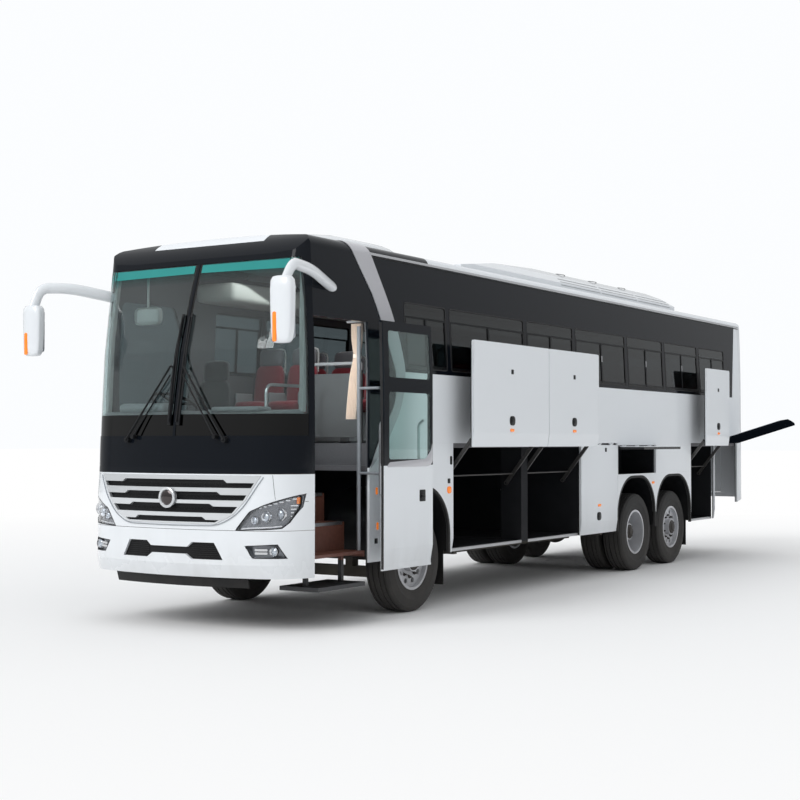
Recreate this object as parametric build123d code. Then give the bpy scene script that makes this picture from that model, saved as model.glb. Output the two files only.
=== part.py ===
from build123d import *
import math
import os

os.makedirs("parts", exist_ok=True)

# Frame: X to the coach's left, the passenger door's side, Y rearwards, Z up. The origin is on the
# ground under the middle of the front axle. Sizes are in millimetres.

# Body shell
BODY_WIDTH = 2550.0
NOSE_START = -1860.0
WHEELBASE = 5720.0
TAG_SPACING = 1370.0
REAR_OVERHANG = 2990.0
TAG_AXLE = WHEELBASE + TAG_SPACING
REAR_END = TAG_AXLE + REAR_OVERHANG
REAR_CORNER_RADIUS = 220.0
SKIRT_HEIGHT = 570.0
SKIRT_TUCK = 22.0
SKIRT_TUCK_HEIGHT = 150.0
REAR_SKIRT_START = TAG_AXLE + 1550.0
REAR_SKIRT_RISE = 300.0
BUMPER_HEIGHT = 500.0
BELT_HEIGHT = 2450.0
WINDOW_SILL = 40.0
WINDOW_HEIGHT = 680.0
WINDOW_HEAD = 410.0
WINDOW_BOTTOM = BELT_HEIGHT + WINDOW_SILL
WINDOW_TOP = WINDOW_BOTTOM + WINDOW_HEIGHT
GUTTER_HEIGHT = WINDOW_TOP + WINDOW_HEAD
GUTTER_HALF_WIDTH = 1220.0
SHOULDER_HALF_WIDTH = 1130.0
SHOULDER_RISE = 96.0
SHOULDER_HEIGHT = GUTTER_HEIGHT + SHOULDER_RISE
CROWN_RISE = 54.0
ROOF_HEIGHT = SHOULDER_HEIGHT + CROWN_RISE
ROOF_END_RADIUS = 130.0
WALL = 40.0
NOSE_WALL = 30.0
GLASS = 8.0
GLASS_SETBACK = 5.0
SEAT = 0.3
PANEL_GAP = 6.0
PANEL_CORNER = 25.0
CLEAR = 300.0

# The nose in plan, from the valance up: height, depth at the middle, where the corner starts across,
# and the depth there. Depths are measured forwards from NOSE_START.
NOSE_SECTIONS = [
    (400.0, 480.0, 850.0, 382.0),
    (620.0, 560.0, 850.0, 455.0),
    (1250.0, 560.0, 850.0, 455.0),
    (1500.0, 520.0, 860.0, 425.0),
    (2000.0, 470.0, 880.0, 385.0),
    (BELT_HEIGHT + 150, 375.0, 930.0, 315.0),
    (BELT_HEIGHT + 650, 240.0, 1000.0, 205.0),
    (GUTTER_HEIGHT - 130, 130.0, 1060.0, 115.0),
    (ROOF_HEIGHT + 30, 80.0, 1090.0, 60.0),
]
NOSE_CORNER_TURN = 38.3
ROOF_FRONT = (-1972.0, GUTTER_HEIGHT - 80)
ROOF_FRONT_MIDDLE = (-1845.0, SHOULDER_HEIGHT - 21)
ROOF_FRONT_TOP = -1400.0
BUMPER_TOP = 935.0
PANEL_TOP = 1450.0
WINDSCREEN_BOTTOM = 1800.0
WINDSCREEN_TOP = GUTTER_HEIGHT - 130
PILLAR_FRONT = -1930.0
DIVIDER_WIDTH = 30.0

# Side windows, front to rear, and the rest of the glass
WINDOW_POST = 70.0
WINDOW_RADIUS = 40.0
WINDOW_EDGES = [
    -310.0, 600.0, 2400.0, WHEELBASE - 1990, WHEELBASE - 370, WHEELBASE + 960, REAR_END - 2040, REAR_END - 860
]
DRIVER_WINDOW = [
    (-1770.0, BELT_HEIGHT - 430), (-1770.0, WINDOW_TOP), (-960.0, WINDOW_TOP), (-640.0, WINDOW_BOTTOM + 60),
    (-700.0, BELT_HEIGHT - 430),
]
DRIVER_WINDOW_RADIUS = 90.0
REAR_WINDOW = (900.0, BELT_HEIGHT, WINDOW_TOP - 20)

# Doorway and passenger door
DOORWAY_REAR = -950.0
DOORWAY_TOP = BELT_HEIGHT + 461
DOOR_BOTTOM = 515.0
DOOR_SHIFT = (280.0, 735.0)
DOOR_ARM_RADIUS = 430.0
DOOR_ARM_EYE = (1190.0, -1405.0)
DOOR_ARM_HEIGHTS = (1440.0, BELT_HEIGHT - 185)
DOOR_POLE_RADIUS = 20.0
DOOR_PANES = [(1575.0, BELT_HEIGHT - 225), (BELT_HEIGHT - 85, DOORWAY_TOP - 96)]
DOOR_STILE = 90.0

# Floors, bays and chassis
FLOOR_HEIGHT = 1730.0
FLOOR_THICKNESS = 50.0
CAB_DROP = 220.0
CAB_FLOOR_HEIGHT = FLOOR_HEIGHT - CAB_DROP
CAB_REAR = -750.0
BAY_FLOOR_HEIGHT = 600.0
BAY_PLATE = 12.0
BAY_FRONT = 695.0
BAY_PILLAR = (2330.0, 2490.0)
BAY_REAR = WHEELBASE - 1852
SERVICE_REAR = WHEELBASE - 720
REAR_BAY = (TAG_AXLE + 600, TAG_AXLE + 1550)
RAIL_X = 430.0
RAIL_WIDTH = 80.0
FIRST_STEP = 690.0
STEP_COUNT = 3
STEP_RISE = (CAB_FLOOR_HEIGHT - FIRST_STEP) / STEP_COUNT
STEP_TOPS = [FIRST_STEP + STEP_RISE * i for i in range(STEP_COUNT + 1)]
STEP_DEPTH = 240.0
STEP_THICKNESS = 30.0
TOW_EYE_RADIUS = 20.0
JACKING_PAD = 12.0

# Lift hatches: first edge, last edge, side, whether it stands open, and the two arms' places
HATCH_TOP = FLOOR_HEIGHT
HATCH_HEAD_GAP = 20.0
HATCH_SHIFT = (250.0, 1120.0)
HATCH_ARM_RADIUS = 637.0
HATCH_ARM_EYE = (1200.0, 645.0)
HATCH_MIDDLE = 2470.0
BAY_ARMS = (BAY_FRONT + 65, BAY_PILLAR[0] - 45)
MIDDLE_ARMS = (BAY_PILLAR[1] + 55, BAY_REAR - 78)
HATCHES = {
    "hatch_left_front": (BAY_FRONT - 23, HATCH_MIDDLE, 1, True, BAY_ARMS),
    "hatch_left_middle": (HATCH_MIDDLE, BAY_REAR, 1, True, MIDDLE_ARMS),
    "hatch_left_rear": (REAR_BAY[0] - 18, REAR_BAY[1] + 22, 1, True, (REAR_BAY[0] + 70, REAR_BAY[1] - 70)),
    "hatch_right_front": (BAY_FRONT - 23, HATCH_MIDDLE, -1, False, BAY_ARMS),
    "hatch_right_middle": (HATCH_MIDDLE, BAY_REAR, -1, False, MIDDLE_ARMS),
}
ARM_WIDTH = 26.0
ARM_DEPTH = 40.0

# Lids hinged along their top edge: first edge, last edge, bottom, hinge height, degrees open
LIDS = {
    "over_wheel_lid": (WHEELBASE - 705, WHEELBASE + 600, 1315.0, FLOOR_HEIGHT - 30, 90.0),
    "rear_side_lid": (REAR_BAY[1] + 42, REAR_END - 380, SKIRT_HEIGHT - 10, FLOOR_HEIGHT + 45, 107.0),
    "service_hatch": (BAY_REAR, SERVICE_REAR - 4, SKIRT_HEIGHT - 6, FLOOR_HEIGHT, 0.0),
}
ENGINE_DOOR = (880.0, SKIRT_HEIGHT + REAR_SKIRT_RISE + 60, FLOOR_HEIGHT + 30)
ENGINE_SLOTS = 7
ENGINE_SLOT = (300.0, 16.0, 55.0)
RADIATOR_GRILLE = (TAG_AXLE + 1450, TAG_AXLE + 2250, 980.0, 1560.0)
RADIATOR_FRAME = 30.0
RADIATOR_PITCH = 52.0
RADIATOR_SLAT = 10.0
RADIATOR_SLAT_TILT = 35.0
HINGE_PIN_RADIUS = 4.0
HINGE_RING_RADIUS = 7.5
HINGE_GAP = 26.0
HINGE_LENGTH = 60.0
PIN_CLEARANCE = 0.3

# Wheels, axles and arches
TYRE_RADIUS = 522.0
TYRE_HALF_WIDTH = 147.0
RIM_RADIUS = 286.0
RIM_FLANGE = 299.0
RIM_THICKNESS = 14.0
SINGLE_TRACK = 1060.0
TWIN_TRACK = 1090.0
TWIN_SPACING = 335.0
KINGPIN_X = 930.0
KNUCKLE_FACE = SINGLE_TRACK - 16.0
KNUCKLE_PLATE = 30.0
HUB_RADIUS = 110.0
STUB_RADIUS = 45.0
ARCH_TOP = 1275.0
ARCH_CORNER = 500.0
FRONT_ARCH = (-30.0, 620.0)
DRIVE_ARCH = (WHEELBASE - 77, 640.0)
TAG_ARCH = (TAG_AXLE - 100, 655.0)
TONGUE_TIP = 775.0
MUD_FLAP = (900.0, 1200.0)
LINER = 8.0
LINER_INNER_X = 540.0
MUD_FLAP_BOTTOM = 230.0

# Roof unit
UNIT_FRONT = 1500.0
UNIT_REAR = TAG_AXLE + 910
UNIT_RISE = 230.0
UNIT_TOP = ROOF_HEIGHT + UNIT_RISE
UNIT_HALF_WIDTH = 900.0

WALL_END = REAR_END - REAR_CORNER_RADIUS
HALF = BODY_WIDTH / 2
INSIDE = HALF - WALL


def block(x0, x1, y0, y1, z0, z1):
    return Pos((x0 + x1) / 2, (y0 + y1) / 2, (z0 + z1) / 2) * Box(x1 - x0, y1 - y0, z1 - z0)


def across(outline, x0, x1):
    """A closed (Y, Z) outline made solid from X = x0 to x1."""
    face = Plane.YZ.offset(x0) * make_face(Polyline(*outline, close=True))
    return extrude(face, amount=x1 - x0)


def along(outline, y0, y1):
    """A closed (X, Z) outline made solid from Y = y0 to y1."""
    face = Plane.XZ.offset(-y1) * make_face(Polyline(*outline, close=True))
    return extrude(face, amount=y1 - y0)


def window(y0, y1, z0, z1, radius, x0, x1):
    """A rounded opening through a side wall."""
    shape = Pos((y0 + y1) / 2, (z0 + z1) / 2) * RectangleRounded(y1 - y0, z1 - z0, radius)
    return extrude(Plane.YZ.offset(x0) * shape, amount=x1 - x0)


def rod(start, end, radius):
    """A round bar between two points."""
    line = Line(start, end)
    plane = Plane(origin=start, z_dir=line.tangent_at(0))
    return extrude(plane * Circle(radius), amount=line.length)


def arc_bulged(p, q, sagitta):
    """An arc from p to q that bulges to the left of its way by the sagitta."""
    length = math.dist(p, q)
    normal = (-(q[1] - p[1]) / length, (q[0] - p[0]) / length)
    middle = ((p[0] + q[0]) / 2 + normal[0] * sagitta, (p[1] + q[1]) / 2 + normal[1] * sagitta)
    return ThreePointArc(p, middle, q)


def body_section(inset, bottom):
    """The shell's cross-section moved inwards, tucked in at the skirt, with lines and arcs."""
    half = HALF - inset
    crown_rise = ROOF_HEIGHT - SHOULDER_HEIGHT
    crown_slope = 2 * math.atan(crown_rise / SHOULDER_HALF_WIDTH)
    gutter = (GUTTER_HALF_WIDTH - inset, GUTTER_HEIGHT)
    shoulder = (
        SHOULDER_HALF_WIDTH - inset * math.sin(crown_slope),
        SHOULDER_HEIGHT - inset * math.cos(crown_slope),
    )
    turn = math.pi / 2 - crown_slope
    sagitta = math.dist(gutter, shoulder) / 2 * math.tan(turn / 4)
    right = [
        Line((half - SKIRT_TUCK, bottom), (half, bottom + SKIRT_TUCK_HEIGHT)),
        Line((half, bottom + SKIRT_TUCK_HEIGHT), (half, BELT_HEIGHT)),
        Line((half, BELT_HEIGHT), gutter),
        arc_bulged(gutter, shoulder, -sagitta),
    ]
    crown = ThreePointArc(shoulder, (0, ROOF_HEIGHT - inset), (-shoulder[0], shoulder[1]))
    left = [mirror(edge, Plane.YZ) for edge in right]
    base = Line((half - SKIRT_TUCK, bottom), (-(half - SKIRT_TUCK), bottom))
    return make_face(Curve() + right + left + [crown, base])


def side_profile(inset, bottom):
    """The side view that rounds the roof's two ends and lifts the skirt behind the tag axle."""
    front = ThreePointArc(
        (ROOF_FRONT[0] + inset, ROOF_FRONT[1] - inset / 2),
        (ROOF_FRONT_MIDDLE[0] + inset * 0.7, ROOF_FRONT_MIDDLE[1] - inset * 0.7),
        (ROOF_FRONT_TOP, ROOF_HEIGHT - inset + 1),
    )
    top_rear = REAR_END - ROOF_END_RADIUS
    rear = ThreePointArc(
        (top_rear, ROOF_HEIGHT - inset + 1),
        (
            top_rear + (ROOF_END_RADIUS - inset) * math.sin(math.pi / 4),
            ROOF_HEIGHT - ROOF_END_RADIUS + (ROOF_END_RADIUS - inset) * math.cos(math.pi / 4),
        ),
        (REAR_END - inset, ROOF_HEIGHT - ROOF_END_RADIUS),
    )
    rest = Polyline(
        (REAR_END - inset, ROOF_HEIGHT - ROOF_END_RADIUS),
        (REAR_END - inset, bottom + REAR_SKIRT_RISE),
        (REAR_SKIRT_START, bottom),
        (REAR_SKIRT_START, CLEAR / 3),
        (NOSE_START - 1000, CLEAR / 3),
        (NOSE_START - 1000, ROOF_FRONT[1] - inset / 2),
        (ROOF_FRONT[0] + inset, ROOF_FRONT[1] - inset / 2),
    )
    top = Line((ROOF_FRONT_TOP, ROOF_HEIGHT - inset + 1), (top_rear, ROOF_HEIGHT - inset + 1))
    face = make_face(Curve() + [front, top, rear, rest])
    return extrude(Plane.YZ.offset(-HALF - CLEAR) * face, amount=BODY_WIDTH + 2 * CLEAR)


def plan_outline(inset, front):
    """The plan view that rounds the two rear corners."""
    half = HALF - inset
    radius = REAR_CORNER_RADIUS - inset
    rear = REAR_END - inset
    size = rear - front
    shape = Pos(0, front + size / 2) * Rectangle(2 * half, size)
    corners = shape.vertices().group_by(Axis.Y)[-1]
    shape = fillet(corners, radius)
    return extrude(Plane.XY.offset(CLEAR) * shape, amount=ROOF_HEIGHT)


def main_volume(inset, front, bottom):
    section = Plane.XZ.offset(-REAR_END) * body_section(inset, bottom)
    solid = extrude(section, amount=REAR_END - front)
    return solid & plan_outline(inset, front) & side_profile(inset, bottom)


def main_layer(outer, inner):
    """The part of the main shell between two depths below its surface."""
    hollow = main_volume(inner, NOSE_START - CLEAR / 2, SKIRT_HEIGHT - CLEAR / 2)
    return main_volume(outer, NOSE_START, SKIRT_HEIGHT) - hollow


def nose_row(height):
    """The nose's middle depth, corner place and corner depth at a height."""
    for low, high in zip(NOSE_SECTIONS, NOSE_SECTIONS[1:]):
        if height <= high[0]:
            share = (height - low[0]) / (high[0] - low[0])
            return [a + share * (b - a) for a, b in zip(low[1:], high[1:])]
    return list(NOSE_SECTIONS[-1][1:])


def half_width(height):
    lean = max(0.0, height - BELT_HEIGHT) / (GUTTER_HEIGHT - BELT_HEIGHT)
    return HALF - lean * (HALF - GUTTER_HALF_WIDTH)


def nose_outline(height, inset, back):
    depth, corner_x, corner_depth = nose_row(height)
    half = half_width(height) - inset
    middle = (0, NOSE_START - depth + inset)
    corner = (corner_x - inset * 0.3, NOSE_START - corner_depth + inset)
    side = (half, NOSE_START)
    sagitta = math.dist(corner, side) / 2 * math.tan(math.radians(NOSE_CORNER_TURN) / 2)
    front = ThreePointArc((-corner[0], corner[1]), middle, corner)
    right = arc_bulged(corner, side, -sagitta)
    left = arc_bulged((-corner[0], corner[1]), (-half, NOSE_START), sagitta)
    rest = Polyline((half, NOSE_START), (half, back), (-half, back), (-half, NOSE_START))
    return make_face(Curve() + [front, right, left, rest])


def nose_volume(inset, back):
    faces = [Plane.XY.offset(row[0]) * nose_outline(row[0], inset, back) for row in NOSE_SECTIONS]
    section = Plane.XZ.offset(-back) * body_section(inset, CLEAR)
    prism = extrude(section, amount=back - NOSE_START + 1000)
    return loft(faces, ruled=True) & prism & side_profile(inset, SKIRT_HEIGHT)


def nose_layer(outer, inner):
    """The part of the nose between two depths below its surface."""
    return nose_volume(outer, NOSE_START + 5) - nose_volume(inner, NOSE_START + CLEAR)


def arch(place, x0, x1, extra=0.0):
    """A wheel arch's opening through a side wall: upright sides, large round corners, level top."""
    centre, half = place
    half = half + extra
    top = ARCH_TOP + extra
    corner = ARCH_CORNER + extra
    shape = Pos(centre, top - ARCH_TOP) * RectangleRounded(2 * half, 2 * ARCH_TOP, corner)
    return extrude(Plane.YZ.offset(x0) * shape, amount=x1 - x0)


def panel_prism(y0, y1, z0, z1):
    """A closing panel's outline with its two upper corners rounded, across the side wall."""
    fillet_room = 4 * PANEL_CORNER
    blank = window(y0, y1, z0 - fillet_room, z1, PANEL_CORNER, HALF - CLEAR, HALF + 10)
    return blank & block(HALF - CLEAR, HALF + 10, y0, y1, z0, z1)


def pivot_of(eye, shift, radius):
    """The centre about which a point at eye swings to eye + shift, on the inner side of its way."""
    half_chord = math.hypot(*shift) / 2
    back = math.sqrt(radius**2 - half_chord**2)
    normal = (shift[1] / (2 * half_chord), -shift[0] / (2 * half_chord))
    return (
        eye[0] + shift[0] / 2 - normal[0] * back,
        eye[1] + shift[1] / 2 - normal[1] * back,
    )


def hinge_stations(y0, y1, count):
    step = (y1 - y0) / count
    return [y0 + step * (i + 0.5) for i in range(count)]


def side_of(shape, side):
    """The shape itself on the left, or mirrored to the right."""
    return shape if side > 0 else mirror(shape, Plane.YZ)


def turned(points):
    """A ring made by turning a closed (X, radius) outline about the X axis."""
    face = make_face(Polyline(*points, close=True))
    return revolve(face, Axis.X)


nodes = {}


def keep(name, *shapes):
    """Adds solids to a node."""
    solids = [s for shape in shapes for s in shape.solids()]
    nodes.setdefault(name, []).extend(solids)


# Shell layers that several nodes are cut from
wall_layer = main_layer(0, WALL)
glass_layer = main_layer(GLASS_SETBACK, GLASS_SETBACK + GLASS)
front_layer = nose_layer(0, NOSE_WALL)
front_glass = nose_layer(GLASS_SETBACK, GLASS_SETBACK + GLASS)


def window_places(grow):
    """Every window of one side, grown or shrunk all round."""
    places = []
    for start, end in zip(WINDOW_EDGES, WINDOW_EDGES[1:]):
        places.append((start + WINDOW_POST / 2 - grow, end - WINDOW_POST / 2 + grow))
    return [(a, b, WINDOW_BOTTOM - grow, WINDOW_TOP + grow) for a, b in places]


def driver_window(inwards, x0, x1):
    """The driver's side window, with a leaning rear edge and round corners."""
    shape = make_face(Polyline(*DRIVER_WINDOW, close=True))
    shape = fillet(shape.vertices(), DRIVER_WINDOW_RADIUS)
    if inwards:
        shape = offset(shape, amount=-inwards)
    return extrude(Plane.YZ.offset(x0) * shape, amount=x1 - x0)


def panel_seams(x0, x1):
    """The gaps that part the left wall's lower panels from the wall above them and from each other."""
    first_hatch = HATCHES["hatch_left_front"][0]
    rear_hatch = HATCHES["hatch_left_rear"]
    wheel_lid, rear_lid = LIDS["over_wheel_lid"], LIDS["rear_side_lid"]
    service_end = LIDS["service_hatch"][1]
    rows = [
        (DOORWAY_REAR, first_hatch, HATCH_TOP),
        (service_end, wheel_lid[0], wheel_lid[3]),
        (wheel_lid[1], rear_hatch[0], wheel_lid[3]),
        (wheel_lid[1], rear_hatch[0], wheel_lid[2]),
        (rear_hatch[1], rear_lid[0], HATCH_TOP),
        (rear_lid[1], REAR_END, rear_lid[3]),
    ]
    seams = [block(x0, x1, y0 - 1, y1 + 1, z - SEAT, z) for y0, y1, z in rows]
    post = wheel_lid[0]
    return seams + [block(x0, x1, post - SEAT, post, 0, wheel_lid[2] + 1)]


def make_side_wall(side):
    x0, x1 = (GUTTER_HALF_WIDTH - WALL - 60, HALF + 60)
    wall = wall_layer & side_of(block(x0, x1, NOSE_START, WALL_END, 0, GUTTER_HEIGHT), side)
    cuts = [window(a, b, c, d, WINDOW_RADIUS, x0, x1) for a, b, c, d in window_places(0)]
    cuts += [arch(place, x0, x1) for place in (FRONT_ARCH, DRIVE_ARCH, TAG_ARCH)]
    tongue = DRIVE_ARCH[0] + DRIVE_ARCH[1]
    cuts.append(block(x0, x1, tongue - 60, tongue + 110, 0, TONGUE_TIP))
    first = HATCHES["hatch_left_front"][0]
    last = LIDS["service_hatch"][1] if side > 0 else HATCHES["hatch_left_middle"][1]
    cuts.append(block(x0, x1, first, last, 0, HATCH_TOP))
    if side > 0:
        cuts.append(block(x0, x1, NOSE_START - 10, DOORWAY_REAR, 0, DOORWAY_TOP))
        hatch = HATCHES["hatch_left_rear"]
        cuts.append(block(x0, x1, hatch[0], hatch[1], 0, HATCH_TOP))
        for name in ("over_wheel_lid", "rear_side_lid"):
            lid = LIDS[name]
            cuts.append(block(x0, x1, lid[0], lid[1], lid[2], lid[3]))
        cuts += panel_seams(x0, x1)
    else:
        cuts.append(driver_window(0, x0, x1))
        first, last, low, high = RADIATOR_GRILLE
        cuts.append(block(x0, x1, first, last, low, high))
    for cut in cuts:
        wall = wall - side_of(cut, side)
    return wall


def make_radiator_grille():
    """The louvred panel over the radiator, in the right side behind the tag axle."""
    first, last, low, high = RADIATOR_GRILLE
    outside = block(0, HALF + 10, first + SEAT, last - SEAT, low + SEAT, high - SEAT)
    edge = RADIATOR_FRAME
    inside = block(0, HALF + 10, first + edge, last - edge, low + edge, high - edge)
    panel = (wall_layer & outside) - inside
    count = int((high - low - 2 * edge) / RADIATOR_PITCH)
    for i in range(count):
        z = low + edge + (i + 0.5) * RADIATOR_PITCH
        slat = Pos(HALF - WALL / 2, 0, z) * Rot(0, RADIATOR_SLAT_TILT, 0) * Box(
            WALL, last - first - 2 * edge + 2, RADIATOR_SLAT
        )
        panel = panel + Pos(0, (first + last) / 2, 0) * slat
    return side_of(panel & block(0, HALF, first, last, low, high), -1)


for side, name in ((1, "left_side_wall"), (-1, "right_side_wall")):
    keep(name, make_side_wall(side))
keep("grille_mesh", make_radiator_grille())


def make_roof():
    top = block(-HALF, HALF, NOSE_START, REAR_END, GUTTER_HEIGHT, ROOF_HEIGHT + CLEAR)
    return wall_layer & top


keep("roof_shell", make_roof())


def make_glazing():
    panes = []
    for side in (1, -1):
        for a, b, c, d in window_places(-SEAT):
            hole = window(a, b, c, d, WINDOW_RADIUS - SEAT, GUTTER_HALF_WIDTH - 120, HALF + 60)
            panes.append(glass_layer & side_of(hole, side))
    hole = driver_window(SEAT, GUTTER_HALF_WIDTH - 120, HALF + 60)
    panes.append(glass_layer & side_of(hole, -1))
    half, low, high = REAR_WINDOW
    hole = block(SEAT - half, half - SEAT, REAR_END - 100, REAR_END + 10, low + SEAT, high - SEAT)
    panes.append(glass_layer & hole)
    return panes


keep("side_windows", *make_glazing())


def make_rear_wall():
    wall = wall_layer & block(-HALF, HALF, WALL_END, REAR_END, SKIRT_HEIGHT, GUTTER_HEIGHT)
    half, low, high = REAR_WINDOW
    wall = wall - block(-half, half, REAR_END - 100, REAR_END + 10, low, high)
    half, low, high = ENGINE_DOOR
    wall = wall - block(-half, half, REAR_END - 100, REAR_END + 10, low, high)
    return wall


def hinge_line(y0, y1, stations, height):
    """Pins with their ears on the body, and rings for the lid, for a hinge on the left side's face."""
    pins = []
    rings = []
    axis_x = HALF
    for y in stations:
        start, end = y - HINGE_LENGTH / 2, y + HINGE_LENGTH / 2
        pin = rod((axis_x, start - 20, height), (axis_x, end + 20, height), HINGE_PIN_RADIUS)
        for at in (start - 20, end + 2):
            ear = block(HALF - 20, HALF + 4, at, at + 18, height - 4, height + HINGE_GAP / 2)
            pin = pin + ear
        pins.append(pin)
        ring = rod((axis_x, start, height), (axis_x, end, height), HINGE_RING_RADIUS)
        arm = block(HALF - 14, HALF, start, end, height - HINGE_GAP / 2 - 4, height)
        bore = rod((axis_x, start - 1, height), (axis_x, end + 1, height), HINGE_PIN_RADIUS + PIN_CLEARANCE)
        rings.append(ring + arm - bore)
    return pins, rings


def make_lid(name):
    """A lid cut from the shell, with its hinge rings, turned open about its top edge."""
    start, end, bottom, top, opened = LIDS[name]
    hinge_z = top - HINGE_GAP / 2
    panel = wall_layer & panel_prism(
        start + PANEL_GAP, end - PANEL_GAP, bottom + PANEL_GAP, top - HINGE_GAP
    )
    pins, rings = hinge_line(start, end, hinge_stations(start, end, 3), hinge_z)
    for ring in rings:
        panel = panel + ring
    turn = Axis((HALF, 0, hinge_z), (0, 1, 0))
    return panel.rotate(turn, -opened), pins


for name in LIDS:
    panel, pins = make_lid(name)
    keep(name, panel)
    walls = Part() + nodes["left_side_wall"] + pins
    nodes["left_side_wall"] = list(walls.solids())


def make_engine_door():
    half, low, high = ENGINE_DOOR
    hinge_z = high - HINGE_GAP / 2
    panel = wall_layer & block(
        -half + PANEL_GAP,
        half - PANEL_GAP,
        REAR_END - 100,
        REAR_END + 10,
        low + PANEL_GAP,
        high - HINGE_GAP,
    )
    wall = make_rear_wall()
    for x in hinge_stations(-half, half, 3):
        start, end = x - HINGE_LENGTH / 2, x + HINGE_LENGTH / 2
        pin = rod((start - 20, REAR_END, hinge_z), (end + 20, REAR_END, hinge_z), HINGE_PIN_RADIUS)
        wall = wall + pin
        for at in (start - 20, end + 2):
            wall = wall + block(
                at, at + 18, REAR_END - 20, REAR_END + 4, hinge_z - 4, high + HINGE_GAP / 2 - 4
            )
        ring = rod((start, REAR_END, hinge_z), (end, REAR_END, hinge_z), HINGE_RING_RADIUS)
        arm = block(start, end, REAR_END - 14, REAR_END, hinge_z - HINGE_GAP / 2 - 4, hinge_z)
        bore_radius = HINGE_PIN_RADIUS + PIN_CLEARANCE
        bore = rod((start - 1, REAR_END, hinge_z), (end + 1, REAR_END, hinge_z), bore_radius)
        panel = panel + (ring + arm - bore)
    width, height, pitch = ENGINE_SLOT
    for side in (1, -1):
        for i in range(ENGINE_SLOTS):
            z = low + 200 + i * pitch
            slot = block(120, 120 + width, REAR_END - 100, REAR_END + 10, z, z + height)
            panel = panel - side_of(slot, side)
    return wall, panel


rear_wall, engine_door = make_engine_door()
keep("rear_wall", rear_wall)
keep("engine_door", engine_door)


# Front end, cut from the nose's layers
GRILLE_OUTLINE = [(970, 1436), (833, 1210), (709, 1078), (531, 990)]
LOWER_GRILLE_OUTLINE = [
    (-516, 820), (-273, 820), (-220, 775), (220, 775), (273, 820), (516, 820),
    (607, 665), (270, 665), (202, 710), (-202, 710), (-270, 665), (-607, 665),
]
HEADLAMP_OUTLINE = [
    (726, 934), (866, 1110), (996, 1169), (1256, 1273), (1244, 1150), (1182, 1009), (1135, 956), (1059, 948)
]
FOG_OUTLINE = [(820, 799), (1105, 816), (1170, 685), (898, 686)]
# Grille bars: top, bottom, half length at the top, half length of the thin middle
GRILLE_BARS = [
    (1436.0, 1368.0, 962.0, 600.0),
    (1322.0, 1258.0, 890.0, 545.0),
    (1209.0, 1152.0, 815.0, 470.0),
    (1092.0, 1028.0, 700.0, 390.0),
]
BADGE_HEIGHT = 1227.0
GRILLE_RIM = 16.0
VALANCE_HALF_WIDTH = 800.0
VALANCE_BOTTOM = 405.0
VALANCE_THICKNESS = 15.0


def nose_prism(outline):
    return along(outline, NOSE_START - 800, NOSE_START - 1)


def shrunk(outline, amount):
    """An outline moved inwards all round."""
    face = offset(make_face(Polyline(*outline, close=True)), amount=-amount, kind=Kind.INTERSECTION)
    return extrude(Plane.XZ.offset(-(NOSE_START - 1)) * face, amount=799)


def mirrored(outline):
    return [(-x, z) for x, z in outline]


def grille_loop():
    return GRILLE_OUTLINE + mirrored(GRILLE_OUTLINE)[::-1]


def make_front():
    bumper = front_layer & block(-HALF, HALF, NOSE_START - 800, NOSE_START, BUMPER_HEIGHT, BUMPER_TOP - 2)
    panel = front_layer & block(-HALF, HALF, NOSE_START - 800, NOSE_START, BUMPER_TOP + 2, PANEL_TOP - 2)
    mask = front_layer & block(
        -HALF, HALF, NOSE_START - 800, NOSE_START, PANEL_TOP + 2, ROOF_HEIGHT + CLEAR
    )
    screen = block(
        -HALF, HALF, NOSE_START - 800, PILLAR_FRONT, WINDSCREEN_BOTTOM, WINDSCREEN_TOP
    )
    divider = front_layer & block(
        -DIVIDER_WIDTH / 2, DIVIDER_WIDTH / 2, NOSE_START - 800, NOSE_START,
        WINDSCREEN_BOTTOM, WINDSCREEN_TOP,
    )
    mask = mask - screen + divider
    for side in (1, -1):
        bumper = bumper - side_of(nose_prism(FOG_OUTLINE), side)
        panel = panel - side_of(nose_prism(HEADLAMP_OUTLINE), side)
        bumper = bumper - side_of(nose_prism(HEADLAMP_OUTLINE), side)
    bumper = bumper - nose_prism(LOWER_GRILLE_OUTLINE)
    panel = panel - nose_prism(grille_loop())
    keep("front_bumper", bumper)
    keep("front_panel", panel)
    keep("front_mask", mask)
    for side in (1, -1):
        inner, outer = sorted((side * (DIVIDER_WIDTH / 2 + SEAT), side * HALF))
        keep("windscreen", front_glass & block(
            inner, outer, NOSE_START - 800, PILLAR_FRONT - SEAT,
            WINDSCREEN_BOTTOM + SEAT, WINDSCREEN_TOP - SEAT,
        ))


make_front()


def bar_outline(top, bottom, half, thin_half):
    """A grille bar that is thick at its ends and thin in the middle, with slanted ends."""
    slant = (top - bottom) * 0.62
    raised = bottom + (top - bottom) * 0.42
    right = [(half, top), (half - slant, bottom), (thin_half + 40, bottom), (thin_half, raised)]
    return right + mirrored(right)[::-1]


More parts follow.
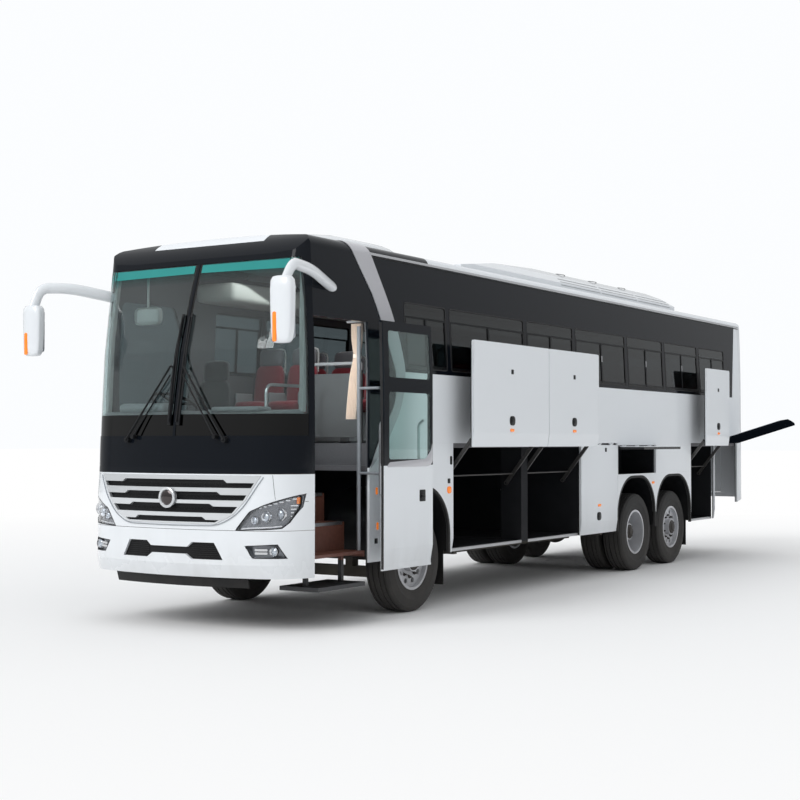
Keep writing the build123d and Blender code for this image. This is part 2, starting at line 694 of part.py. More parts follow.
def make_grille():
    proud = nose_layer(-6, NOSE_WALL - 4)
    mesh_layer = nose_layer(NOSE_WALL - 4, NOSE_WALL)
    keep("grille_mesh", mesh_layer & shrunk(grille_loop(), SEAT))
    keep("grille_mesh", mesh_layer & shrunk(LOWER_GRILLE_OUTLINE, SEAT))
    valance = nose_layer(NOSE_WALL + SEAT, NOSE_WALL + VALANCE_THICKNESS)
    keep("grille_mesh", valance & block(
        -VALANCE_HALF_WIDTH, VALANCE_HALF_WIDTH, NOSE_START - 800, NOSE_START - 1,
        VALANCE_BOTTOM, BUMPER_HEIGHT + 60,
    ))
    opening = shrunk(grille_loop(), SEAT)
    grille = proud & (opening - shrunk(grille_loop(), GRILLE_RIM))
    for bar in GRILLE_BARS:
        grille = grille + (proud & nose_prism(bar_outline(*bar)) & opening)
    face, back = NOSE_START - 580, NOSE_START - 535
    grille = grille + rod((0, face, BADGE_HEIGHT), (0, back, BADGE_HEIGHT), 82)
    keep("grille", grille)
    lamp_layer = nose_layer(2, NOSE_WALL)
    for side in (1, -1):
        keep("lamps", lamp_layer & side_of(shrunk(HEADLAMP_OUTLINE, SEAT), side))
        keep("lamps", lamp_layer & side_of(shrunk(FOG_OUTLINE, SEAT), side))


make_grille()

for side in (1, -1):
    cluster = block(1010, 1150, REAR_END - 90, REAR_END + 10, 950, 1650)
    keep("lamps", (main_layer(-10, -SEAT) & side_of(cluster, side)))


# Silver bands: a broad stripe that comes down from the roof and hooks forward behind the doorway.
# Each edge is a row of arcs, given by their ends and the points they pass through.
BAND_FRONT_EDGE = [
    (-1270, BELT_HEIGHT + 1250), (-1060, BELT_HEIGHT + 990), (-860, BELT_HEIGHT + 750),
    (-690, BELT_HEIGHT + 450), (-515, BELT_HEIGHT + 65),
    (-515, BELT_HEIGHT - 330), (-640, BELT_HEIGHT - 490), (-780, BELT_HEIGHT - 690), (-930, BELT_HEIGHT - 950),
]
BAND_REAR_EDGE = [
    (-930, BELT_HEIGHT + 1250), (-760, BELT_HEIGHT + 990), (-600, BELT_HEIGHT + 740),
    (-440, BELT_HEIGHT + 440), (-315, BELT_HEIGHT + 70),
    (-350, BELT_HEIGHT - 260), (-500, BELT_HEIGHT - 520), (-700, BELT_HEIGHT - 760), (-930, BELT_HEIGHT - 960),
]


def arc_row(points):
    """Arcs through every third point of a row, each one passing through the point between."""
    return [ThreePointArc(a, b, c) for a, b, c in zip(points[0::2], points[1::2], points[2::2])]


def make_bands():
    layer = main_layer(-8, -SEAT)
    front, rear = BAND_FRONT_EDGE, BAND_REAR_EDGE
    ends = [Line(front[0], rear[0]), Line(front[-1], rear[-1])]
    face = make_face(Curve() + arc_row(front) + arc_row(rear) + ends)
    stripe = extrude(Plane.YZ.offset(1000) * face, amount=HALF + 60 - 1000)
    for side in (1, -1):
        keep("silver_bands", layer & side_of(stripe, side))


make_bands()


# Floors
def make_floor():
    inner = INSIDE - SEAT
    upper = block(-inner, inner, CAB_REAR, WALL_END, FLOOR_HEIGHT - FLOOR_THICKNESS, FLOOR_HEIGHT)
    cab = block(
        -inner, inner, NOSE_START, CAB_REAR + FLOOR_THICKNESS,
        CAB_FLOOR_HEIGHT - FLOOR_THICKNESS, CAB_FLOOR_HEIGHT,
    )
    riser = block(
        -inner, inner, CAB_REAR, CAB_REAR + FLOOR_THICKNESS,
        CAB_FLOOR_HEIGHT - FLOOR_THICKNESS, FLOOR_HEIGHT,
    )
    well = block(
        INSIDE - 10 - STEP_DEPTH * STEP_COUNT, HALF, NOSE_START - 10, DOORWAY_REAR + 30,
        CAB_FLOOR_HEIGHT - 200, CAB_FLOOR_HEIGHT + 10,
    )
    floor = upper + cab + riser - well
    edges = [
        (HATCHES["hatch_left_front"][0], LIDS["service_hatch"][1], 1),
        (HATCHES["hatch_right_front"][0], HATCHES["hatch_right_middle"][1], -1),
        (LIDS["over_wheel_lid"][0], LIDS["over_wheel_lid"][1], 1),
        (HATCHES["hatch_left_rear"][0], LIDS["rear_side_lid"][1], 1),
    ]
    for y0, y1, side in edges:
        floor = floor - side_of(
            block(INSIDE - PANEL_GAP, HALF, y0 - 1, y1 + 1, FLOOR_HEIGHT - 200, FLOOR_HEIGHT + 10), side
        )
    return floor


keep("saloon_floor", make_floor())


def make_steps():
    """Stepped plate from the doorway up to the cab floor, with its side cheeks."""
    outer = [(INSIDE - 10, STEP_TOPS[0])]
    x = INSIDE - 10
    for low, high in zip(STEP_TOPS, STEP_TOPS[1:]):
        x = x - STEP_DEPTH
        outer += [(x, low), (x, high)]
    inner = [(px - STEP_THICKNESS, pz - STEP_THICKNESS) for px, pz in outer[:-1]]
    inner[0] = (INSIDE - 10, STEP_TOPS[0] - STEP_THICKNESS)
    last = (outer[-1][0], STEP_TOPS[-1] - FLOOR_THICKNESS - SEAT)
    inner.append((last[0] - STEP_THICKNESS, last[1]))
    outer[-1] = last
    front, rear = NOSE_START + 12, DOORWAY_REAR - 12
    steps = along(outer + inner[::-1], front, rear)
    for y in (front, rear - BAY_PLATE):
        cheek = [(INSIDE - 10, STEP_TOPS[0] - 60), (INSIDE - 10, STEP_TOPS[0])] + outer[1:]
        cheek += [(last[0], 900), (last[0] + 35, 900), (INSIDE - 350, STEP_TOPS[0] - 60)]
        steps = steps + along(cheek, y, y + BAY_PLATE)
    kick = block(820, INSIDE + 30, -1790, -1010, 355, 395)
    for y in (-1700, -1120):
        kick = kick + block(1020, 1060, y, y + 40, 395, STEP_TOPS[0] - STEP_THICKNESS + 5)
    return steps + kick


keep("entry_steps", make_steps())


# Luggage bays
def make_bays():
    edge = INSIDE - PANEL_GAP
    top = FLOOR_HEIGHT - FLOOR_THICKNESS
    floor_low = BAY_FLOOR_HEIGHT - BAY_PLATE
    solids = block(-edge, edge, BAY_FRONT - BAY_PLATE, SERVICE_REAR, floor_low, BAY_FLOOR_HEIGHT)
    for y in (BAY_FRONT - BAY_PLATE, BAY_REAR, SERVICE_REAR - BAY_PLATE):
        solids = solids + block(-edge, edge, y, y + BAY_PLATE, floor_low, top)
    for side in (1, -1):
        solids = solids + side_of(
            block(960, edge, BAY_PILLAR[0], BAY_PILLAR[1], floor_low, top), side
        )
    keep("luggage_bays", solids)
    start, end = REAR_BAY
    rear = block(LINER_INNER_X, edge, start, end, floor_low, top)
    rear = rear - block(
        LINER_INNER_X + BAY_PLATE, HALF, start + BAY_PLATE, end - BAY_PLATE,
        BAY_FLOOR_HEIGHT, top - 1,
    )
    keep("luggage_bays", rear)
    low = ARCH_TOP + LINER + 2
    lid = LIDS["over_wheel_lid"]
    locker = block(760, edge, lid[0] + 10, lid[1] - 10, low, top)
    locker = locker - block(
        760 + BAY_PLATE, HALF, lid[0] + 10 + BAY_PLATE, lid[1] - 10 - BAY_PLATE, low + BAY_PLATE, top + 1
    )
    keep("luggage_bays", locker)


make_bays()


def hatch_pivot():
    return pivot_of(HATCH_ARM_EYE, HATCH_SHIFT, HATCH_ARM_RADIUS)


def make_hatch(name):
    """A lifted panel with its two pin lugs, and the pair of arms that carries it."""
    start, end, side, is_open, arm_places = HATCHES[name]
    panel = wall_layer & panel_prism(
        start + PANEL_GAP, end - PANEL_GAP, SKIRT_HEIGHT, HATCH_TOP - HATCH_HEAD_GAP
    )
    pivot = hatch_pivot()
    shift = (HATCH_SHIFT[0], HATCH_SHIFT[1]) if is_open else (0, 0)
    eye = (HATCH_ARM_EYE[0] + shift[0], HATCH_ARM_EYE[1] + shift[1])
    panel = Pos(shift[0], 0, shift[1]) * panel
    arms = []
    for y, inwards in zip(arm_places, (1, -1)):
        low, high = y - ARM_WIDTH / 2, y + ARM_WIDTH / 2
        angle = math.degrees(math.atan2(eye[1] - pivot[1], eye[0] - pivot[0]))
        bar = block(0, HATCH_ARM_RADIUS, low, high, -ARM_DEPTH / 2, ARM_DEPTH / 2)
        bar = bar + rod((0, low, 0), (0, high, 0), 25) + rod(
            (HATCH_ARM_RADIUS, low, 0), (HATCH_ARM_RADIUS, high, 0), 22
        )
        for x in (0, HATCH_ARM_RADIUS):
            bar = bar - rod((x, low - 1, 0), (x, high + 1, 0), 10 + PIN_CLEARANCE)
        bar = Pos(pivot[0], 0, pivot[1]) * Rot(0, -angle, 0) * bar
        arms.append(bar)
        inner_face = INSIDE + shift[0]
        far = high if inwards > 0 else low
        lug_from, lug_to = sorted((far + inwards * 1, far + inwards * 13))
        lug = block(eye[0] - 18, inner_face + 5, lug_from, lug_to, eye[1] - 20, eye[1] + 20)
        pin_from, pin_to = sorted((y - inwards * ARM_WIDTH / 2, far + inwards * 13))
        panel = panel + lug + rod((eye[0], pin_from, eye[1]), (eye[0], pin_to, eye[1]), 10)
    tie = rod((0, arm_places[0], 0), (0, arm_places[1], 0), 9)
    angle = math.atan2(eye[1] - pivot[1], eye[0] - pivot[0])
    reach = HATCH_ARM_RADIUS * 0.22
    tie = Pos(pivot[0] + reach * math.cos(angle), 0, pivot[1] + reach * math.sin(angle)) * tie
    arm_pair = arms[0] + arms[1] + tie
    keep(name, side_of(panel, side))
    keep(name + "_arms", side_of(arm_pair, side))


def hatch_pin_anchors(name):
    """Pins on the bay's walls that the arms turn on: from the wall's face through the arm."""
    start, end, side, is_open, arm_places = HATCHES[name]
    x, z = hatch_pivot()
    faces = [
        BAY_FRONT, BAY_PILLAR[0], BAY_PILLAR[1], BAY_REAR,
        REAR_BAY[0] + BAY_PLATE, REAR_BAY[1] - BAY_PLATE,
    ]
    pins = []
    for y in arm_places:
        near = min(faces, key=lambda face: abs(face - y))
        far = y + math.copysign(ARM_WIDTH / 2, y - near)
        pins.append(side_of(rod((x, near, z), (x, far, z), 10), side))
    return pins


for name in HATCHES:
    make_hatch(name)
    bays = nodes["luggage_bays"]
    joined = bays[0].fuse(*bays[1:], *[s for pin in hatch_pin_anchors(name) for s in pin.solids()])
    nodes["luggage_bays"] = list(joined.solids())


# Passenger door
def make_door():
    shell = wall_layer & block(
        HALF - 200, HALF + 10, NOSE_START + PANEL_GAP, DOORWAY_REAR - PANEL_GAP, 0, DOORWAY_TOP - PANEL_GAP
    )
    lower = block(
        INSIDE, HALF - SKIRT_TUCK, NOSE_START + PANEL_GAP, DOORWAY_REAR - PANEL_GAP,
        DOOR_BOTTOM, SKIRT_HEIGHT + 1,
    )
    door = shell + lower
    glass = []
    front, rear = NOSE_START + PANEL_GAP + DOOR_STILE, DOORWAY_REAR - PANEL_GAP - DOOR_STILE / 2
    for low, high in DOOR_PANES:
        door = door - window(front, rear, low, high, 30, 1100, HALF + 60)
        hole = window(front + SEAT, rear - SEAT, low + SEAT, high - SEAT, 30, 1100, HALF + 60)
        glass.append(glass_layer & hole)
    pivot = pivot_of(DOOR_ARM_EYE, DOOR_SHIFT, DOOR_ARM_RADIUS)
    opened = (DOOR_ARM_EYE[0] + DOOR_SHIFT[0], DOOR_ARM_EYE[1] + DOOR_SHIFT[1])
    for height in DOOR_ARM_HEIGHTS:
        lug = block(
            DOOR_ARM_EYE[0] - 20, INSIDE + 5, DOOR_ARM_EYE[1] - 25, DOOR_ARM_EYE[1] + 25,
            height + 21, height + 36,
        )
        x, y = DOOR_ARM_EYE
        door = door + lug + rod((x, y, height - 20), (x, y, height + 30), 10)
    place = Pos(DOOR_SHIFT[0], DOOR_SHIFT[1], 0)
    keep("passenger_door", place * door)
    keep("door_glass", *[place * pane for pane in glass])
    knee = (pivot[0] + 232, pivot[1] - 14)
    x, y = pivot
    arms = rod((x, y, STEP_TOPS[0] + SEAT), (x, y, DOORWAY_TOP - 40), DOOR_POLE_RADIUS)
    for height in DOOR_ARM_HEIGHTS:
        first = rod((x, y, height), (knee[0], knee[1], height), 14)
        second = rod((knee[0], knee[1], height), (opened[0], opened[1], height), 14)
        ball = Pos(knee[0], knee[1], height) * Sphere(14)
        eye = rod((opened[0], opened[1], height - 20), (opened[0], opened[1], height + 20), 22)
        bore = rod(
            (opened[0], opened[1], height - 21), (opened[0], opened[1], height + 21), 10 + PIN_CLEARANCE
        )
        arms = arms + first + second + ball + eye - bore
    keep("door_arms", arms)


make_door()


# Wheel arch liners and mud flaps
def make_liners():
    for side in (1, -1):
        for place, inner in ((FRONT_ARCH, LINER_INNER_X), (DRIVE_ARCH, LINER_INNER_X), (TAG_ARCH, 860.0)):
            ring = arch(place, inner, INSIDE - SEAT) - arch(place, inner - 1, HALF, -LINER)
            ring = ring & block(0, HALF, NOSE_START, REAR_END, SKIRT_HEIGHT + 20, FLOOR_HEIGHT)
            if place == DRIVE_ARCH or place == TAG_ARCH:
                middle = DRIVE_ARCH[0] + DRIVE_ARCH[1] + 26
                away = block(0, HALF, middle, REAR_END, 0, 2000)
                if place == TAG_ARCH:
                    away = block(0, HALF, 0, middle, 0, 2000)
                ring = ring - away
            if place != DRIVE_ARCH:
                rear = place[0] + place[1]
                ring = ring + block(*MUD_FLAP, rear - LINER, rear, MUD_FLAP_BOTTOM, SKIRT_HEIGHT + 60)
            keep("wheel_arch_liners", side_of(ring, side))


make_liners()


# Chassis
def make_chassis():
    front_low, front_high = 640.0, 860.0
    rear_low, rear_high = 690.0, 900.0
    low, high = 440.0, BAY_FLOOR_HEIGHT - BAY_PLATE - SEAT
    drop_end, tail = SERVICE_REAR + 10, REAR_END - 330
    outline = [
        (-2150, front_high), (640, front_high), (640, high), (drop_end, high), (drop_end, rear_high),
        (tail, rear_high), (tail, rear_low), (drop_end + 190, rear_low), (drop_end + 190, low), (500, low),
        (500, front_low), (-2150, front_low),
    ]
    rails = []
    for side in (1, -1):
        rail = across(outline, RAIL_X - RAIL_WIDTH / 2, RAIL_X + RAIL_WIDTH / 2)
        for y, z in ((-1200, front_low), (REAR_BAY[1] - 40, rear_low)):
            rail = rail + block(RAIL_X - 35, RAIL_X + 35, y - 50, y + 50, z - JACKING_PAD, z)
        rails.append(side_of(rail, side))
    for y0, y1, z0, z1 in ((-2210, -2060, 425, front_low + 25), (tail - 50, tail + 210, 550, rear_low + 25)):
        eye_y = y0 + 60 if y0 < 0 else y1 - 60
        plate = block(-RAIL_X - 20, -RAIL_X + 20, y0, y1, z0, z1)
        bore = rod((-RAIL_X - 40, eye_y, z0 + 50), (-RAIL_X + 40, eye_y, z0 + 50), TOW_EYE_RADIUS)
        rails[1] = rails[1] + (plate - bore)
    between = RAIL_X - RAIL_WIDTH / 2 - SEAT
    outside = RAIL_X + RAIL_WIDTH / 2 + SEAT
    members = [
        (-2100, front_low + 30, front_high - 30), (-800, front_low + 30, front_high - 30),
        (560, low + 10, high - 10), (2400, low + 10, high - 10), (4000, low + 10, high - 10),
        (SERVICE_REAR + 100, low + 10, rear_high - 30), (WHEELBASE + 650, rear_low + 20, rear_high - 20),
        (REAR_BAY[0] + 310, rear_low + 20, rear_high - 20), (tail - 60, rear_low + 20, rear_high - 20),
    ]
    crossings = [block(-between, between, y, y + 60, z0, z1) for y, z0, z1 in members]
    for y in (BAY_FRONT + 205, SERVICE_REAR - 300):
        crossings.append(block(-between, between, y, y + 60, high - 60, high))
        for side in (1, -1):
            crossings.append(side_of(block(outside, 1150, y, y + 60, high - 60, high), side))
    return rails + crossings


keep("chassis_frame", *make_chassis())

engine_half = RAIL_X - RAIL_WIDTH / 2 - SEAT
engine = block(-engine_half, engine_half, REAR_END - 1680, REAR_END - 430, 740, 1420)
keep("engine_block", engine)


# Axles and knuckles
def make_axles():
    beam_outline = [
        (-880, 590), (-985, 590), (-985, 454), (-850, 454), (-700, 330), (700, 330), (850, 454),
        (985, 454), (985, 590), (880, 590), (840, 560), (680, 440), (-680, 440), (-840, 560),
    ]
    beam = along(beam_outline, -55, 55)
    for side in (1, -1):
        x = side * KINGPIN_X
        beam = beam - rod((x, 0, 400), (x, 0, 640), 20 + PIN_CLEARANCE)
        spring = block(*sorted((side * 380, side * 470)), -55, 55, 440, 640)
        beam = beam + spring
    keep("axles", beam)
    z = TYRE_RADIUS
    bowl = ThreePointArc((-174, 75), (0, 190), (174, 75))
    tube = Polyline(
        (174, 75), (700, 75), (700, 60), (940, 60), (940, 0), (-940, 0), (-940, 60), (-700, 60), (-700, 75),
        (-174, 75),
    )
    drive = Pos(0, WHEELBASE, z) * revolve(make_face(Curve() + [bowl, tube]), Axis.X)
    for side in (1, -1):
        drive = drive + block(
            *sorted((side * 390, side * 470)), WHEELBASE - 60, WHEELBASE + 60, z + 40, 690
        )
    keep("axles", drive)
    tag = Pos(0, TAG_AXLE, z) * turned([
        (-1090, 0), (-1090, STUB_RADIUS), (-760, STUB_RADIUS), (-760, 65), (760, 65),
        (760, STUB_RADIUS), (1090, STUB_RADIUS), (1090, 0),
    ])
    for side in (1, -1):
        tag = tag + block(*sorted((side * 390, side * 470)), TAG_AXLE - 60, TAG_AXLE + 60, z + 40, 690)
    keep("axles", tag)


make_axles()


def make_knuckle(side):
    z = TYRE_RADIUS
    pin = rod((KINGPIN_X, 0, 395), (KINGPIN_X, 0, 650), 20)
    top = block(KINGPIN_X - 45, KNUCKLE_FACE, -45, 45, 596, 650)
    bottom = block(KINGPIN_X - 45, KNUCKLE_FACE, -45, 45, 395, 448)
    plate = block(KNUCKLE_FACE - KNUCKLE_PLATE, KNUCKLE_FACE, -45, 45, 395, 650)
    stub = rod((KNUCKLE_FACE - KNUCKLE_PLATE, 0, z), (1120, 0, z), STUB_RADIUS)
    steering_arm = block(KINGPIN_X - 45, KINGPIN_X - 5, 40, 190, 390, 415)
    return side_of(pin + top + bottom + plate + stub + steering_arm, side)


keep("knuckle_left", make_knuckle(1))
keep("knuckle_right", make_knuckle(-1))


def make_tyre(centre):
    w = TYRE_HALF_WIDTH
    inner = RIM_RADIUS + SEAT
    points = [
        (-w + 31, inner), (-w + 31, RIM_FLANGE + 2), (-w + 4, 350), (-w, 400), (-w + 8, 470),
        (-w + 30, 512), (-w + 55, TYRE_RADIUS),
        (w - 55, TYRE_RADIUS), (w - 30, 512), (w - 8, 470), (w, 400), (w - 4, 350),
        (w - 31, RIM_FLANGE + 2), (w - 31, inner),
    ]
    return turned([(centre + x, r) for x, r in points])


def make_rim_barrel(centre):
    w = TYRE_HALF_WIDTH - 34
    inner = RIM_RADIUS - RIM_THICKNESS
    points = [
        (-w - 12, inner), (-w - 12, RIM_FLANGE), (-w - 4, RIM_FLANGE), (-w - 4, RIM_RADIUS),
        (w + 4, RIM_RADIUS), (w + 4, RIM_FLANGE), (w + 12, RIM_FLANGE), (w + 12, inner),
    ]
    return turned([(centre + x, r) for x, r in points])


def make_disc(at, hub_from, hub_to, bore_radius, bore_to):
    """Wheel disc with hand holes and a hub that the axle's end runs in."""
    inner = RIM_RADIUS - RIM_THICKNESS + 2
    disc = turned([(at - 14, 60), (at, inner), (at + 16, inner), (at + 16, 170), (at + 2, 150), (at + 2, 60)])
    for i in range(10):
        angle = 2 * math.pi * i / 10
        y, z = 215 * math.cos(angle), 215 * math.sin(angle)
        disc = disc - rod((at - 40, y, z), (at + 40, y, z), 28)
    hub = rod((hub_from, 0, 0), (hub_to, 0, 0), HUB_RADIUS)
    bore = rod((hub_from - 1, 0, 0), (bore_to, 0, 0), bore_radius + PIN_CLEARANCE)
    return disc + hub - bore


def place_wheel(shape, side, y):
    return side_of(Pos(0, y, TYRE_RADIUS) * shape, side)


for side, hand in ((1, "left"), (-1, "right")):
    for label, y in (("front", 0.0), ("tag", TAG_AXLE)):
        disc = make_disc(SINGLE_TRACK + 60, SINGLE_TRACK - 10, SINGLE_TRACK + 135, STUB_RADIUS, 1125)
        rim = make_rim_barrel(SINGLE_TRACK) + disc
        keep(f"tyre_{label}_{hand}", place_wheel(make_tyre(SINGLE_TRACK), side, y))
        keep(f"rim_{label}_{hand}", place_wheel(rim, side, y))
    inner_track = TWIN_TRACK - TWIN_SPACING
    middle = TWIN_TRACK - TWIN_SPACING / 2
    rims = make_rim_barrel(TWIN_TRACK) + make_rim_barrel(inner_track)
    rims = rims + turned([
        (inner_track, 272), (inner_track, 286), (TWIN_TRACK, 286), (TWIN_TRACK, 272)
    ])
    rims = rims + make_disc(middle, middle - 60, TWIN_TRACK + 40, 60.0, 950)
    keep(f"tyres_drive_{hand}", place_wheel(make_tyre(TWIN_TRACK), side, WHEELBASE))
    keep(f"tyres_drive_{hand}", place_wheel(make_tyre(inner_track), side, WHEELBASE))
    keep(f"rims_drive_{hand}", place_wheel(rims, side, WHEELBASE))


# Roof air conditioner
def make_roof_unit():
    side_view = [
        (UNIT_FRONT, ROOF_HEIGHT - 60), (UNIT_FRONT, ROOF_HEIGHT + 30), (UNIT_FRONT + 900, UNIT_TOP - 90),
        (UNIT_FRONT + 2300, UNIT_TOP), (UNIT_REAR - 500, UNIT_TOP), (UNIT_REAR, ROOF_HEIGHT + 60),
        (UNIT_REAR, ROOF_HEIGHT - 60),
    ]
    unit = across(side_view, -UNIT_HALF_WIDTH, UNIT_HALF_WIDTH)
    end_view = [
        (-UNIT_HALF_WIDTH, ROOF_HEIGHT - 60), (-UNIT_HALF_WIDTH, ROOF_HEIGHT + 60),
        (-UNIT_HALF_WIDTH + 90, ROOF_HEIGHT + 150), (-UNIT_HALF_WIDTH + 260, UNIT_TOP),
        (UNIT_HALF_WIDTH - 260, UNIT_TOP), (UNIT_HALF_WIDTH - 90, ROOF_HEIGHT + 150),
        (UNIT_HALF_WIDTH, ROOF_HEIGHT + 60), (UNIT_HALF_WIDTH, ROOF_HEIGHT - 60),
    ]
    unit = unit & along(end_view, UNIT_FRONT, UNIT_REAR)
    return unit - main_volume(-SEAT, NOSE_START, SKIRT_HEIGHT)


keep("roof_air_conditioner", make_roof_unit())


# Seats
SEAT_WIDTH = 450.0
SEAT_PITCH = 830.0
SEAT_FIRST = 0.0
SEAT_ROWS = 11


def seat_outline(y, floor):
    """Side view of a coach seat that faces forwards."""
    points = [
        (0, 0), (420, 0), (420, 300), (520, 1080), (400, 1090), (330, 500), (-40, 480), (-40, 330), (0, 330),
    ]
    return [(y + a, floor + b) for a, b in points]


def make_seats():
    for row in range(SEAT_ROWS):
        y = SEAT_FIRST + row * SEAT_PITCH
        for side in (1, -1):
            for x in (300.0, 300.0 + SEAT_WIDTH + 10):
                seat = across(seat_outline(y, FLOOR_HEIGHT + SEAT), x, x + SEAT_WIDTH)
                keep("seats", side_of(seat, side))
    keep("seats", across(seat_outline(-1350, CAB_FLOOR_HEIGHT + SEAT), -920, -440))


make_seats()


# Dashboard and steering wheel
WHEEL_CENTRE = (-680.0, -1560.0, CAB_FLOOR_HEIGHT + 620)
WHEEL_TILT = 25.0
WHEEL_RADIUS = 230.0


def make_dashboard():
    profile = [
        (-2330, CAB_FLOOR_HEIGHT), (-2330, CAB_FLOOR_HEIGHT + 480), (-1990, CAB_FLOOR_HEIGHT + 530),
        (-1900, CAB_FLOOR_HEIGHT + 450), (-1960, CAB_FLOOR_HEIGHT + 190), (-1960, CAB_FLOOR_HEIGHT),
    ]
    inside = nose_volume(NOSE_WALL + SEAT, NOSE_START + 5)
    dash = across(profile, -HALF, HALF) & inside
    tilt = math.radians(WHEEL_TILT)
    x, y, z = WHEEL_CENTRE
    direction = (0, math.sin(tilt), math.cos(tilt))
    top = (x, y - direction[1] * 70, z - direction[2] * 70)
    foot = (x, y - direction[1] * 640, z - direction[2] * 640)
    column = rod(foot, top, 40)
    base = block(x - 70, x + 70, foot[1] - 70, foot[1] + 60, CAB_FLOOR_HEIGHT + SEAT, foot[2] + 30)
    keep("dashboard", dash)
    keep("dashboard", column + base)
    hub_from = (x, y - direction[1] * 69.7, z - direction[2] * 69.7)
    hub = rod(hub_from, WHEEL_CENTRE, 45)
    ring = Pos(*WHEEL_CENTRE) * Rot(-WHEEL_TILT, 0, 0) * Torus(WHEEL_RADIUS, 16)
    wheel = ring + hub
    for angle in (0, 180, 270):
        spoke = Pos(*WHEEL_CENTRE) * Rot(-WHEEL_TILT, 0, 0) * Rot(0, 0, angle)
        wheel = wheel + spoke * block(30, WHEEL_RADIUS, -20, 20, -12, 0)
    keep("steering_wheel", wheel)


make_dashboard()


# Handrails beside the steps, modesty panel, and the curtain on its rail
CURTAIN = (1040.0, 1180.0, -900.0, -790.0, CAB_FLOOR_HEIGHT + 450, DOORWAY_TOP + 9)
CURTAIN_RAIL_RADIUS = 12.0


def make_handrails():
    floor = FLOOR_HEIGHT + SEAT
    rail = rod((1010, -700, floor), (1010, -700, floor + 800), 17)
    rail = rail + rod((1010, -700, floor + 800), (400, -700, floor + 800), 17)
    rail = rail + rod((400, -700, floor), (400, -700, floor + 817), 17)
    rail = rail + block(420, 1000, -706, -694, floor + 60, floor + 700)
    keep("handrails", rail)
    y = (CURTAIN[2] + CURTAIN[3]) / 2
    z = CURTAIN[5] + SEAT + CURTAIN_RAIL_RADIUS
    wall_face = half_width(z + CURTAIN_RAIL_RADIUS) - WALL - SEAT
    keep("handrails", rod((CURTAIN[0] - 100, y, z), (wall_face, y, z), CURTAIN_RAIL_RADIUS))


make_handrails()
keep("door_curtain", block(*CURTAIN))


# Mirrors: broad curved arms that sweep forwards and turn down into the heads
MIRROR_ARM = (38.0, 55.0)
MIRROR_BEND = 110.0
MIRROR_HEAD = (240.0, 130.0)
MIRROR_GLASS_DEPTH = 6.0
# Each arm's points, then the middle of its head and the head's height
MIRROR_LEFT = (
    [(1190, -1440, GUTTER_HEIGHT - 385), (1440, -2150, GUTTER_HEIGHT - 285),
     (1590, -2660, GUTTER_HEIGHT - 300), (1600, -2790, GUTTER_HEIGHT - 560)],
    (1600, -2795, GUTTER_HEIGHT - 705), 590.0,
)
MIRROR_RIGHT = (
    [(-1180, -1880, GUTTER_HEIGHT - 385), (-1400, -2290, GUTTER_HEIGHT - 310),
     (-1585, -2590, GUTTER_HEIGHT - 340), (-1600, -2600, GUTTER_HEIGHT - 600)],
    (-1600, -2600, GUTTER_HEIGHT - 745), 510.0,
)


nose_outside = nose_volume(-SEAT, NOSE_START + 5)


def make_mirror(points, middle, height):
    path = FilletPolyline(*points, radius=MIRROR_BEND)
    section = Plane(origin=path @ 0, z_dir=path % 0, x_dir=(0, 0, 1)) * Ellipse(MIRROR_ARM[1], MIRROR_ARM[0])
    head = Pos(*middle) * Box(MIRROR_HEAD[0], MIRROR_HEAD[1], height)
    head = fillet(head.edges(), 50)
    glass = Pos(middle[0], middle[1] + MIRROR_HEAD[1] / 2, middle[2]) * Box(
        MIRROR_HEAD[0] - 60, 2 * MIRROR_GLASS_DEPTH, height - 70
    )
    return sweep(section, path=path) + (head - glass)


def make_mirrors():
    body = main_volume(-SEAT, NOSE_START, SKIRT_HEIGHT)
    keep("mirrors", make_mirror(*MIRROR_LEFT) - body)
    keep("mirrors", make_mirror(*MIRROR_RIGHT) - nose_outside)


make_mirrors()


# Wipers: pivots below the glass, arms out in front of it, blades upright at the middle
def nose_surface(x, z, out):
    depth, corner_x, corner_depth = nose_row(z)
    radius = (corner_x**2 + (depth - corner_depth) ** 2) / (2 * (depth - corner_depth))
    fall = radius - math.sqrt(radius**2 - x**2)
    return (x, NOSE_START - depth + fall - out, z)


def make_wipers():
    for side in (1, -1):
        pivot = nose_surface(side * 595, 1765, 45)
        shoe = nose_surface(side * 595, 1765, -20)
        knuckle = rod(shoe, pivot, 28)
        middle = nose_surface(side * 75, 2460, 55)
        arm = rod(pivot, middle, 10) + Pos(*pivot) * Sphere(14)
        low = nose_surface(side * 45, 1930, 32)
        centre = nose_surface(side * 55, 2440, 32)
        high = nose_surface(side * 45, 2930, 32)
        blade = rod(low, centre, 9) + rod(centre, high, 9) + rod(centre, middle, 9)
        keep("wipers", knuckle + arm + blade - nose_outside)


make_wipers()

for name, solids in nodes.items():
    shape = solids[0] if len(solids) == 1 else Compound(children=solids)
    export_step(shape, f"parts/{name}.step")
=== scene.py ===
import math
import bmesh
import bpy
from mathutils import Matrix, Vector
from mathutils.bvhtree import BVHTree


